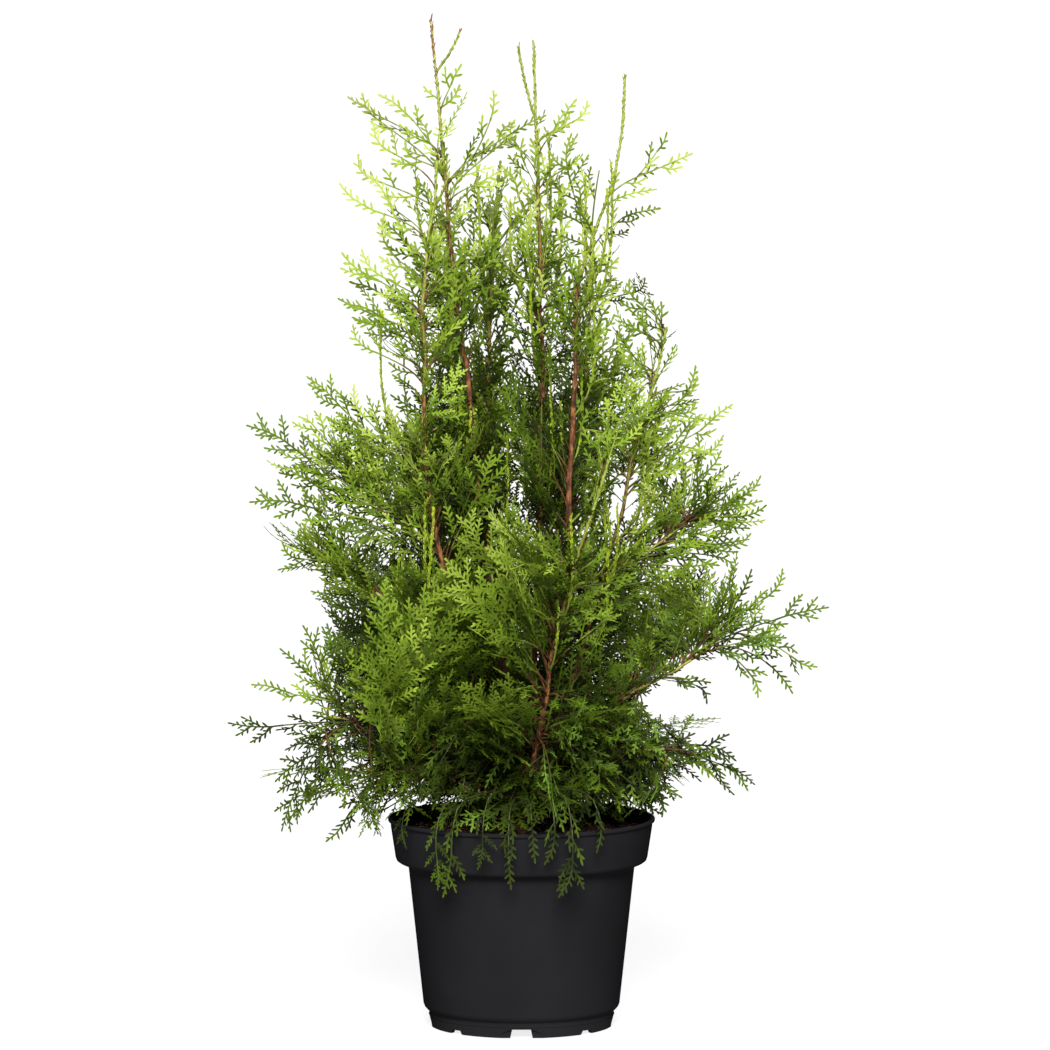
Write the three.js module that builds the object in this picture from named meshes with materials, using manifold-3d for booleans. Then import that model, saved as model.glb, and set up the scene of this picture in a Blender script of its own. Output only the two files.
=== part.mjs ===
// A young, several-stemmed thuja in a round nursery pot, in millimetres, +Z up.
// The pot stands on its feet at z = 0 with its axis on Z; the front of the plant faces -Y.
// Each stem and bough is one tapering limb. Each mass of foliage is one closed, uneven solid that
// grows from a limb to its tip, and is trimmed back from its neighbours, the limbs and the pot.
import * as THREE from "three";
import { mergeVertices } from "three/addons/utils/BufferGeometryUtils.js";
import Module from "manifold-3d";

const wasm = await Module();
wasm.setup();

// ---------------------------------------------------------------- driving dimensions
const GAP = 0.35; // free space kept between two solids that touch on the real plant

const POT = {
  height: 180,
  lipRadius: 115, // the thin lip round the mouth is the widest point
  lipHeight: 2,
  bandHeight: 35, // the band is the deep collar below the lip
  bandTopRadius: 113.4,
  bandFootRadius: 109,
  bandRound: 4,
  shoulderDrop: 6.5, // slope from the band back to the body
  bodyTopRadius: 97.5,
  bodyFootRadius: 84.6,
  heelHeight: 19, // where the body starts to turn in to the foot
  footRadius: 79.5,
  footTop: 10,
  footWidth: 5,
  baseHeight: 7, // underside of the floor, above the feet
  floorThickness: 2,
  wall: 1.6,
  segments: 32,
};
// Drain notches under the foot: deep ones a quarter turn apart, with a shallow one between two.
const DEEP_NOTCH = { topWidth: 17, footWidth: 28, height: POT.baseHeight };
const SHALLOW_NOTCH = { topWidth: 10, footWidth: 17, height: 3.4 };
const NOTCH_PAIRS = 4;
const SOIL_DROP = 14; // the compost lies this far below the mouth
const GROUND = POT.height - SOIL_DROP;

// Limbs. Each starts at a point, or on an earlier limb at a share of its length, and runs to its end.
// Its middle bows sideways off the straight line by [x, y] and up by arch; its radii are foot and tip.
const LIMBS = {
  stool: { from: [0, 2, GROUND + GAP], to: [3, 2, GROUND + 42], bow: [1, 0], radii: [12, 8.5], flare: 6 },
  leader_left: { from: [-2, 2, 190], to: [-78, 8, 873], bow: [-5, -6], radii: [5.2, 0.9] },
  leader_middle: { from: [4, 5, 192], to: [10, 20, 851], bow: [11, 6], radii: [4.8, 0.9] },
  leader_right: { from: [6, -2, 190], to: [47, -20, 644], bow: [11, -8], radii: [5.2, 1.9] },
  leader_right_tip: { from: [46, -20, 637], to: [88, -20, 818], bow: [10, 0], radii: [1.8, 0.9] },
  stem_left: { from: [-5, -1, 184], to: [-71, -36, 752], bow: [-42, -14], radii: [4.4, 0.9] },
  stem_right: { from: [9, 0, 182], to: [124, -30, 607], bow: [6, 2], radii: [4.2, 0.9] },
  stem_front: { from: [4, -5, 180], to: [75, -100, 500], bow: [-11, -18], radii: [4, 0.9] },
  stem_back_left: { from: [-3, 7, 186], to: [-18, 58, 748], bow: [-18, 20], radii: [4.6, 0.9] },
  stem_back_right: { from: [7, 6, 184], to: [62, 92, 655], bow: [10, 26], radii: [4.4, 0.9] },
  bough_left_high: { on: "stem_left", at: 0.42, to: [-160, 2, 496], arch: -10, radii: [2.4, 1.2] },
  bough_left_middle: { on: "stem_left", at: 0.22, to: [-156, 4, 396], arch: 2, radii: [2.5, 1.2] },
  bough_left_low: { on: "stem_left", at: 0.05, to: [-168, -10, 268], arch: 12, radii: [2.9, 1.3] },
  bough_left_foot: { on: "stool", at: 0.8, to: [-132, -34, 220], arch: 12, radii: [2.7, 1.3] },
  bough_right_high: { on: "leader_right", at: 0.42, to: [142, -8, 436], arch: -8, radii: [2.4, 1.2] },
  bough_right_arm: { on: "stem_right", at: 0.14, to: [166, -4, 330], arch: 2, radii: [2.8, 1.3] },
  bough_right_low: { on: "stem_right", at: 0.03, to: [124, -12, 240], arch: 12, radii: [2.6, 1.3] },
};
const LIMB_SIDES = 5;
const LIMB_RINGS = 4;
const FLARE_FADE = 6; // how fast the flare at the foot dies away along the limb

// Masses of foliage. Each grows on a limb, at a share of its length, and runs to its tip; its half
// sizes are across the view from the front and along it.
const MASSES = {
  top_left_high: { on: "leader_left", at: 0.8, tip: [-142, 2, 800], half: [25, 16] },
  top_left_low: { on: "leader_left", at: 0.75, tip: [-151, -12, 722], half: [28, 20] },
  top_left_inner: { on: "leader_left", at: 0.84, tip: [-34, 8, 840], half: [15, 12] },
  top_between: { on: "leader_left", at: 0.73, tip: [10, 12, 796], half: [28, 24] },
  top_middle_right: { on: "leader_middle", at: 0.8, tip: [71, 18, 816], half: [18, 16] },
  top_right_outer: { on: "leader_right_tip", at: 0.42, tip: [138, -20, 752], half: [20, 16] },
  top_right_inner: { on: "leader_right_tip", at: 0.16, tip: [64, -8, 788], half: [26, 24] },
  top_back: { on: "stem_back_left", at: 0.7, tip: [-12, 50, 756], half: [52, 42] },
  upper_left: { on: "leader_left", at: 0.52, tip: [-60, -6, 744], half: [46, 44] },
  upper_middle: { on: "leader_middle", at: 0.52, tip: [16, 0, 748], half: [46, 44] },
  upper_right: { on: "leader_right", at: 0.76, tip: [84, -16, 722], half: [46, 42] },
  upper_left_outer: { on: "stem_left", at: 0.56, tip: [-134, -24, 694], half: [44, 38] },
  upper_right_outer: { on: "leader_right", at: 0.74, tip: [130, 8, 636], half: [40, 38] },
  mid_left: { on: "stem_left", at: 0.4, tip: [-86, -30, 636], half: [62, 62] },
  mid_left_outer: { on: "stem_left", at: 0.4, tip: [-164, 12, 588], half: [54, 56] },
  mid_front: { on: "leader_middle", at: 0.28, tip: [2, -84, 622], half: [68, 54] },
  mid_right: { on: "leader_right", at: 0.46, tip: [66, -26, 626], half: [62, 60] },
  mid_right_outer: { on: "stem_right", at: 0.5, tip: [154, -12, 600], half: [54, 54] },
  mid_back_left: { on: "stem_back_left", at: 0.34, tip: [-62, 112, 640], half: [76, 66] },
  mid_back_right: { on: "stem_back_right", at: 0.36, tip: [70, 118, 634], half: [74, 64] },
  left_arm_high: { on: "bough_left_high", at: 0.3, tip: [-220, 2, 524], half: [44, 44] },
  left_arm_middle: { on: "bough_left_middle", at: 0.5, tip: [-224, -12, 462], half: [50, 54] },
  left_arm_lower: { on: "bough_left_middle", at: 0.45, tip: [-212, 16, 362], half: [54, 56] },
  belt_left: { on: "stem_left", at: 0.14, tip: [-110, -100, 496], half: [76, 72] },
  belt_front: { on: "stem_front", at: 0.3, tip: [-18, -150, 506], half: [76, 66] },
  belt_right: { on: "stem_front", at: 0.4, tip: [104, -106, 510], half: [72, 66] },
  right_shoulder: { on: "bough_right_high", at: 0.36, tip: [206, -6, 470], half: [76, 66] },
  back_left: { on: "stem_back_left", at: 0.12, tip: [-124, 152, 506], half: [88, 76] },
  back_right: { on: "stem_back_right", at: 0.12, tip: [120, 160, 494], half: [88, 76] },
  right_arm: { on: "bough_right_arm", at: 0.44, tip: [256, -4, 352], half: [50, 54] },
  left_low_arm: { on: "bough_left_low", at: 0.4, tip: [-252, -12, 256], half: [48, 56] },
  left_foot: { on: "bough_left_foot", at: 0.45, tip: [-204, -32, 172], half: [40, 50] },
  right_low_arm: { on: "bough_right_low", at: 0.36, tip: [200, -10, 212], half: [40, 54] },
  low_left: { on: "stem_left", at: 0.12, tip: [-146, -96, 356], half: [74, 64] },
  low_right: { on: "stem_right", at: 0.16, tip: [150, -94, 346], half: [74, 64] },
  low_front: { on: "stem_front", at: 0.2, tip: [-4, -184, 344], half: [84, 62] },
  front_drape_left: { on: "stem_front", at: 0.1, tip: [-72, -160, 160], half: [52, 40] },
  front_drape_right: { on: "stem_front", at: 0.14, tip: [52, -164, 152], half: [50, 38] },
  low_back_left: { on: "stem_back_left", at: 0.08, tip: [-148, 136, 262], half: [72, 74] },
  low_back_middle: { on: "stem_back_left", at: 0.12, tip: [4, 184, 312], half: [76, 70] },
  low_back_right: { on: "stem_back_right", at: 0.08, tip: [152, 130, 256], half: [72, 74] },
};
const LUMPS = { count: 9, spread: 0.12, depth: 0.3 }; // bumps of a mass, as shares of its size
const SMALL_MASS = 80; // masses with a half length below this are drawn with fewer faces
const FOOT_ROOM = 3; // a mass is never trimmed nearer to its foot than this
const LEAST_SHARE = 0.2; // the least of the way to a neighbour's centre that a mass may keep
const YOUNG_ABOVE = 620; // the foliage of the tops is this year's, and paler

const LOOKS = {
  pot: { color: 0x1b1c1d, roughness: 0.5, metalness: 0 },
  compost: { color: 0x2f1a12, roughness: 0.95, metalness: 0 },
  bark: { color: 0x6b4a3a, roughness: 0.8, metalness: 0 },
  youngFoliage: { color: 0x8fa04c, roughness: 0.6, metalness: 0 },
  foliage: { color: 0x54692a, roughness: 0.6, metalness: 0 },
};

// ---------------------------------------------------------------- solids
const vector = (point) => new THREE.Vector3(...point);

/** The geometry as a closed solid. */
function solidOf(geometry) {
  const bare = geometry.clone();
  for (const name of Object.keys(bare.attributes)) {
    if (name !== "position") bare.deleteAttribute(name);
  }
  const merged = mergeVertices(bare, 1e-4);
  const vertProperties = new Float32Array(merged.attributes.position.array);
  const triVerts = new Uint32Array(merged.index.array);
  return new wasm.Manifold(new wasm.Mesh({ numProp: 3, vertProperties, triVerts }));
}

/** The largest single body of a solid, as a geometry. */
function geometryOf(solid) {
  const [body] = solid.decompose().sort((a, b) => b.volume() - a.volume());
  const { vertProperties, triVerts } = body.getMesh();
  const geometry = new THREE.BufferGeometry();
  geometry.setAttribute("position", new THREE.BufferAttribute(new Float32Array(vertProperties), 3));
  geometry.setIndex(new THREE.BufferAttribute(new Uint32Array(triVerts), 1));
  geometry.computeVertexNormals();
  return geometry;
}

/** A solid turned about Z from [radius, z] pairs, which start and end on the axis. */
function turned(profile) {
  const points = profile.map(([radius, z]) => new THREE.Vector2(radius, z));
  return solidOf(new THREE.LatheGeometry(points, POT.segments).rotateX(Math.PI / 2));
}

// ---------------------------------------------------------------- pot and compost
/** [radius, z] up the outside of the pot from its foot to its lip, moved out by `grow`. */
function potOutside(grow = 0) {
  const bandFoot = POT.height - POT.bandHeight;
  const profile = [
    [POT.footRadius, 0],
    [POT.footRadius, POT.footTop],
    [POT.bodyFootRadius, POT.heelHeight],
    [POT.bodyTopRadius, bandFoot - POT.shoulderDrop],
    [POT.bandFootRadius - POT.bandRound, bandFoot - 1],
    [POT.bandFootRadius, bandFoot + POT.bandRound],
    [POT.bandTopRadius, POT.height - POT.lipHeight - 1],
    [POT.lipRadius, POT.height - POT.lipHeight],
    [POT.lipRadius, POT.height],
  ];
  return profile.map(([radius, z]) => [radius + grow, z]);
}

/** [radius, z] up the inside of the pot from its floor to its mouth, moved in by `shrink`. */
function potInside(shrink = 0) {
  const bandFoot = POT.height - POT.bandHeight;
  const floor = POT.baseHeight + POT.floorThickness;
  const profile = [
    [POT.footRadius, floor + shrink],
    [POT.bodyFootRadius, POT.heelHeight],
    [POT.bodyTopRadius, bandFoot - POT.shoulderDrop + POT.wall],
    [POT.bandFootRadius, bandFoot + POT.bandRound],
    [POT.bandTopRadius, POT.height],
  ];
  return profile.map(([radius, z]) => [radius - POT.wall - shrink, z]);
}

/** A drain notch through the foot ring at an angle about Z, wide at the foot and round in its flanks. */
function notchSolid({ topWidth, footWidth, height }, angle) {
  const [top, foot] = [topWidth / 2, footWidth / 2];
  const outline = new THREE.Shape();
  outline.moveTo(-foot, -1);
  outline.lineTo(foot, -1);
  outline.lineTo(foot, 0);
  outline.quadraticCurveTo(top, 0, top, height);
  outline.lineTo(-top, height);
  outline.quadraticCurveTo(-top, 0, -foot, 0);
  const depth = 6 * POT.footWidth;
  const cutter = new THREE.ExtrudeGeometry(outline, { depth, bevelEnabled: false, curveSegments: 2 });
  cutter.rotateX(Math.PI / 2); // the outline stands up and the cutter runs to -Y
  cutter.translate(0, 3 * POT.footWidth - POT.footRadius, 0);
  return solidOf(cutter.rotateZ(angle));
}

function potSolid() {
  const floor = POT.baseHeight + POT.floorThickness;
  const shell = turned([[0, 0], ...potOutside(), [0, POT.height]]);
  const mouth = POT.bandTopRadius - POT.wall;
  const hollow = turned([[0, floor], ...potInside(), [mouth, POT.height + 1], [0, POT.height + 1]]);
  const ringInside = POT.footRadius - POT.footWidth;
  const recess = turned([[0, -1], [ringInside, -1], [ringInside, POT.baseHeight], [0, POT.baseHeight]]);
  let pot = shell.subtract(hollow).subtract(recess);
  const step = (2 * Math.PI) / NOTCH_PAIRS;
  for (let i = 0; i < NOTCH_PAIRS; i++) {
    pot = pot.subtract(notchSolid(DEEP_NOTCH, i * step));
    pot = pot.subtract(notchSolid(SHALLOW_NOTCH, (i + 0.5) * step));
  }
  return pot;
}

/** Radius of the room inside the pot at the compost's surface, a gap in from the wall. */
function compostRadius() {
  const [narrow, wide] = potInside(GAP).slice(-2);
  const share = (GROUND - narrow[1]) / (wide[1] - narrow[1]);
  return THREE.MathUtils.lerp(narrow[0], wide[0], share);
}

function compostSolid() {
  const inside = potInside(GAP).slice(0, -1);
  return turned([[0, inside[0][1]], ...inside, [compostRadius(), GROUND], [0, GROUND]]);
}

/** What the pot and the compost fill, with the gap round it, which the foliage keeps out of. */
function potRoom() {
  const [lip, mouth] = [POT.lipRadius + GAP, POT.bandTopRadius - POT.wall - GAP];
  const [top, ground] = [POT.height + GAP, GROUND + GAP];
  const inside = [[mouth, top], [compostRadius(), ground], [0, ground]];
  return turned([[0, 0], ...potOutside(GAP), [lip, top], ...inside]);
}

// ---------------------------------------------------------------- limbs
/** The middle line of a limb, from its foot to its end. */
function limbCurve(name) {
  const { from, on, at, to, bow = [0, 0], arch = 0 } = LIMBS[name];
  const start = from ? vector(from) : limbCurve(on).getPointAt(at);
  const end = vector(to);
  const control = start.clone().add(end).multiplyScalar(0.5);
  control.add(vector([...bow, arch]).multiplyScalar(2)); // the curve goes half way to its control
  return new THREE.QuadraticBezierCurve3(start, control, end);
}

/** A tapering limb: a cylinder whose rings are moved onto the limb's middle line, grown by `grow`. */
function limbSolid(name, grow = 0) {
  const { radii, flare = 0 } = LIMBS[name];
  const curve = limbCurve(name);
  const cylinder = new THREE.CylinderGeometry(1, 1, 1, LIMB_SIDES, LIMB_RINGS);
  const at = cylinder.attributes.position;
  const level = Math.abs(curve.getTangentAt(0).z) < 0.5;
  for (let i = 0; i < at.count; i++) {
    const share = at.getY(i) + 0.5;
    const cutFlat = flare > 0 && share === 0;
    const along = cutFlat ? vector([0, 0, 1]) : curve.getTangentAt(share);
    const side = vector(level ? [0, 0, 1] : [0, 1, 0]).cross(along).normalize();
    const across = along.clone().cross(side);
    const radius = THREE.MathUtils.lerp(...radii, share) + flare * Math.exp(-FLARE_FADE * share) + grow;
    const end = share === 1 ? grow : share === 0 ? -grow : 0;
    const point = curve.getPointAt(share).addScaledVector(along, end);
    point.addScaledVector(across, at.getX(i) * radius).addScaledVector(side, at.getZ(i) * radius);
    at.setXYZ(i, ...point.toArray());
  }
  return solidOf(cylinder);
}

// ---------------------------------------------------------------- masses of foliage
/** The mass's centre, its three axes (along, across, through) and its half sizes along them. */
function frameOf({ on, at, tip, half }) {
  const foot = limbCurve(on).getPointAt(at);
  const along = vector(tip).sub(foot);
  const sizes = [along.length() / 2, ...half];
  const centre = foot.addScaledVector(along, 0.5);
  along.normalize();
  const through = vector([0, 1, 0]).projectOnPlane(along).normalize();
  return { centre, axes: [along, through.clone().cross(along), through], sizes };
}

/** How far the frame's ellipsoid reaches from its centre in a direction. */
function reach({ axes, sizes }, direction) {
  return 1 / Math.hypot(...axes.map((axis, i) => direction.dot(axis) / sizes[i]));
}

/** Directions of a mass's bumps, the same each time for one seed; the first two are its tip and foot. */
function bumpDirections(seed) {
  const goldenAngle = Math.PI * (3 - Math.sqrt(5));
  const bumps = [vector([1, 0, 0]), vector([-1, 0, 0])];
  for (let i = 0; i < LUMPS.count; i++) {
    const x = 1 - (2 * (i + 0.5)) / LUMPS.count;
    const turn = goldenAngle * i + seed * (1 + i * i * goldenAngle);
    const flat = Math.sqrt(1 - x * x);
    bumps.push(vector([x, flat * Math.cos(turn), flat * Math.sin(turn)]));
  }
  return bumps;
}

/** How far a mass's foot lies from its centre in a direction, with some room round the foot. */
function footReach({ axes, sizes }, direction) {
  return FOOT_ROOM - sizes[0] * direction.dot(axes[0]);
}

/** Planes between a mass and the masses near it, each as a unit normal and its distance. */
function dividers(frame, frames) {
  const planes = [];
  for (const other of frames) {
    const towards = other.centre.clone().sub(frame.centre);
    const apart = towards.length();
    if (other === frame || apart > frame.sizes[0] + other.sizes[0] + GAP) continue;
    towards.normalize();
    const [mine, theirs] = [reach(frame, towards), reach(other, towards)];
    const shared = (apart * mine) / (mine + theirs);
    // The plane moves off the middle where it would cut either mass from the limb that bears it.
    const least = footReach(frame, towards);
    const most = apart - footReach(other, towards.clone().negate());
    const kept = least < most ? THREE.MathUtils.clamp(shared, least, most) : shared;
    const distance = THREE.MathUtils.clamp(kept, apart * LEAST_SHARE, apart * (1 - LEAST_SHARE));
    planes.push({ towards, distance: distance - GAP / 2 });
  }
  return planes;
}

/** One uneven mass: a ball stretched to its sizes, bumped all over and trimmed at its neighbours. */
function massSolid(frame, frames, seed) {
  const { centre, axes, sizes } = frame;
  const bumps = bumpDirections(seed);
  const planes = dividers(frame, frames);
  const ball = new THREE.OctahedronGeometry(1, sizes[0] < SMALL_MASS ? 2 : 3);
  const at = ball.attributes.position;
  for (let i = 0; i < at.count; i++) {
    const direction = new THREE.Vector3().fromBufferAttribute(at, i).normalize();
    const bump = bumps.reduce((sum, b) => sum + Math.exp((direction.dot(b) - 1) / LUMPS.spread), 0);
    const size = 1 - LUMPS.depth * (1 - Math.min(1, bump));
    const offset = new THREE.Vector3();
    axes.forEach((axis, k) => offset.addScaledVector(axis, direction.getComponent(k) * sizes[k] * size));
    const beyond = planes.map(({ towards, distance }) => offset.dot(towards) / distance);
    offset.divideScalar(Math.max(1, ...beyond)).add(centre);
    at.setXYZ(i, ...offset.toArray());
  }
  return solidOf(ball);
}

// ---------------------------------------------------------------- the whole object
const plant = new THREE.Group();

function add(name, solid, look) {
  const mesh = new THREE.Mesh(geometryOf(solid), new THREE.MeshStandardMaterial(look));
  mesh.name = name;
  plant.add(mesh);
}

add("pot", potSolid(), LOOKS.pot);
add("compost", compostSolid(), LOOKS.compost);

// Each limb is cut back from those before it, so that a bough starts at its stem's bark.
let wood = null;
for (const name of Object.keys(LIMBS)) {
  const limb = limbSolid(name);
  add(name, wood ? limb.subtract(wood) : limb, LOOKS.bark);
  const room = limbSolid(name, GAP);
  wood = wood ? wood.add(room) : room;
}

const keepOut = wood.add(potRoom());
const frames = Object.values(MASSES).map(frameOf);
Object.keys(MASSES).forEach((name, i) => {
  const look = frames[i].centre.z > YOUNG_ABOVE ? LOOKS.youngFoliage : LOOKS.foliage;
  add(name, massSolid(frames[i], frames, i).subtract(keepOut), look);
});

export default plant;
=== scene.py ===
"""A young potted thuja: bark over the stems, twigs and flat sprays of scale leaves grown from them by a
seeded branching rule inside the crown's masses, moist compost, and a moulded nursery pot. Metres, +Z up."""

import math

import bpy
import numpy as np
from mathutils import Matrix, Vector
from mathutils.bvhtree import BVHTree


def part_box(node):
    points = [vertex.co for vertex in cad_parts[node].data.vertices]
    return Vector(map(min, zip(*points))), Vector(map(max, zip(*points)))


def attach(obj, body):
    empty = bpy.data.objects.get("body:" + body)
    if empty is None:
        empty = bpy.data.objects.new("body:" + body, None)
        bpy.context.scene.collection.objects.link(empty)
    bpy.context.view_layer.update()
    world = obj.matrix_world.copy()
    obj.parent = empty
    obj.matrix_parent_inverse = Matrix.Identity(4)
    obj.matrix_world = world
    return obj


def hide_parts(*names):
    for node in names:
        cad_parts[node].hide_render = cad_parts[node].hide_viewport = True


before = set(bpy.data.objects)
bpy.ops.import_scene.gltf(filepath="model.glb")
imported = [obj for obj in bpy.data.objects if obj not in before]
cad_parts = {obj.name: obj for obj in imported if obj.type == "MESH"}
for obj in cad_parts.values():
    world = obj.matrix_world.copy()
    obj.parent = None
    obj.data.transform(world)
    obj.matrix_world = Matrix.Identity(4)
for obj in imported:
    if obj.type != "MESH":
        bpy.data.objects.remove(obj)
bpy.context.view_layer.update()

MM = 0.001
UP = np.array([0.0, 0.0, 1.0])

# ---------------------------------------------------------------- sizes, in metres
SIDES = 128  # round the pot
BARK = {
    "sides": 10, "ring_step": 4 * MM, "ridge": 0.13, "knot": 0.22, "knot_step": 19 * MM,
    "line_step": 5 * MM, "node_step": 30 * MM, "zigzag": 1.3 * MM,
    "thins_at": [-2.7 * MM, -1.55 * MM, -1.1 * MM],  # minus the radii where its look changes
}
LIMB_STATIONS = 14  # sections read along each limb's solid
LEADER_END = 160 * MM  # how far down from its tip a leader has fingers on it
CRUMBS, FIBRES = 900, 420  # loose on the compost

FINGER = {"foot": 0.9, "wide_at": 0.68, "rise": 0.4 * MM, "least": 2.4 * MM}
HABITS = {  # twice branched and fine where the spray is older, single combs of long fingers where young
    "dense": {
        "step": 6.4 * MM,  # along a spray's axis, from a branchlet on one side to the next on the other
        "reach": 0.36,  # a branchlet's length as a share of its spray's
        "longest": 22 * MM,
        "spread": (52, 38),  # a branchlet's degrees off the axis, at the spray's foot and its end
        "strand": 1.25 * MM,  # width of the scaly strands that carry the fingers
        "finger": 3.9 * MM,
        "finger_width": 1.45 * MM,
        "finger_step": 1.8 * MM,
        "comb_from": 0.45,  # share of the axis beyond which it has fingers of its own
        "room": 15 * MM,  # along a twig, from one spray to the next on the other side
    },
    "open": {
        "step": 9.5 * MM, "reach": 0.42, "longest": 30 * MM, "spread": (46, 34), "strand": 1.5 * MM,
        "finger": 5.8 * MM, "finger_width": 1.85 * MM, "finger_step": 2.9 * MM, "comb_from": 0.2,
        "room": 10.5 * MM,
    },
    "young": {
        "step": 14 * MM, "reach": 0.45, "longest": 36 * MM, "spread": (42, 32), "strand": 1.6 * MM,
        "finger": 6.8 * MM, "finger_width": 2.2 * MM, "finger_step": 3.4 * MM, "comb_from": 0.25,
        "room": 17 * MM,
    },
}
SPRAY_LENGTHS = [length * MM for length in (15, 23, 33, 44, 60, 78, 98)]
SPRAY_VARIANTS = 4
OLDER_SHARE = 0.55  # of a spray's axis, from its foot
TWIG = {"foot": 1.0 * MM, "tip": 0.55 * MM, "sides": 4, "steps": 9}
OVERHANG = 9 * MM  # how far a spray may reach out of its mass
FROND_ROOM = 0.0000108  # cubic metres of mass for each frond
FULLNESS = {  # share of the usual number of fronds; at 0 its leaves come from long fronds only
    "front_drape_left": 0, "front_drape_right": 0, "right_arm": 0.2, "right_low_arm": 0.3,
    "left_low_arm": 0.2, "left_foot": 0.25, "mid_front": 0.7, "mid_right_outer": 0.85, "belt_front": 0.6,
    "belt_left": 0.62, "belt_right": 0.6, "low_front": 0.58, "low_left": 0.55, "low_right": 0.5,
    "low_back_left": 0.75, "low_back_middle": 0.75, "low_back_right": 0.7, "back_left": 0.85,
    "back_right": 0.85, "right_shoulder": 0.75, "left_arm_lower": 0.32, "left_arm_high": 1.1,
    "mid_right": 0.85, "upper_middle": 0.8, "upper_left_outer": 0.75, "upper_right_outer": 0.35,
    "mid_left_outer": 1.3, "top_left_high": 0.7, "top_left_low": 0.9, "top_middle_right": 1.1,
    "top_right_outer": 0,
}
LIFTED = {"right_arm": 12 * MM, "left_low_arm": -12 * MM}  # fronds that end above or below their mass's
RIM = {"inner": 103 * MM, "outer": 117.5 * MM, "top": 183 * MM}  # the room kept clear for the pot's wall
OVER_RIM = {"beyond": 99 * MM, "half_width": 105 * MM, "below": RIM["top"] + 3 * MM}
PEAT_CLEAR = 168 * MM  # the least height of leaves above the compost
NEAR_POT = 260 * MM  # sprays that start below this height are kept clear of the pot
MOST_MOVED = 9 * MM  # further than this a spray isn't pushed clear of the pot, but left out
LIMITS = {  # the shares beyond which a spray or a frond is left out
    "window": 0.12,  # of a spray, in front of a stem that shows
    "sky": 0.18,  # of a spray, in a clearing
    "sky_path": 0.09,  # of a frond's path, in a clearing
    "rim": 0.12,  # of a spray, over the rim
    "hidden": 0.2,  # of a frond's sprays, left out for those reasons
    "misfits": 0.35,  # of a frond's sprays, too long for the crown
}
WINDOWS = [  # stems that show from the front, and from what height to what height
    ("stem_front", 0.225, 0.35),
    ("leader_right", 0.44, 0.56),
    ("stem_left", 0.405, 0.45),
    ("stem_right", 0.40, 0.49),
    ("bough_right_high", 0.41, 0.49),
    ("leader_middle", 0.65, 0.69),
]
WINDOW_HALF = 3.5 * MM
VIEW_DROP = 0.093  # from the front, a point looks lower by this share of how far it stands forward
CLEARINGS = [  # sky between the boughs from the front, in mm: middle x and z, half the width and height
    (124, 276, 17, 17), (168, 305, 13, 8), (156, 272, 18, 7), (152, 205, 22, 8), (-228, 240, 16, 7),
    (-215, 350, 16, 14), (-184, 362, 20, 8), (-188, 388, 15, 6), (-178, 350, 18, 8), (-120, 564, 9, 13),
    (-192, 503, 10, 6), (66, 700, 7, 18), (72, 742, 8, 10), (140, 608, 14, 10), (84, 442, 9, 13),
    (-186, 212, 17, 5), (-216, 270, 18, 8), (236, 341, 15, 8), (-172, 176, 12, 8), (90, 655, 10, 8),
]
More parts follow.
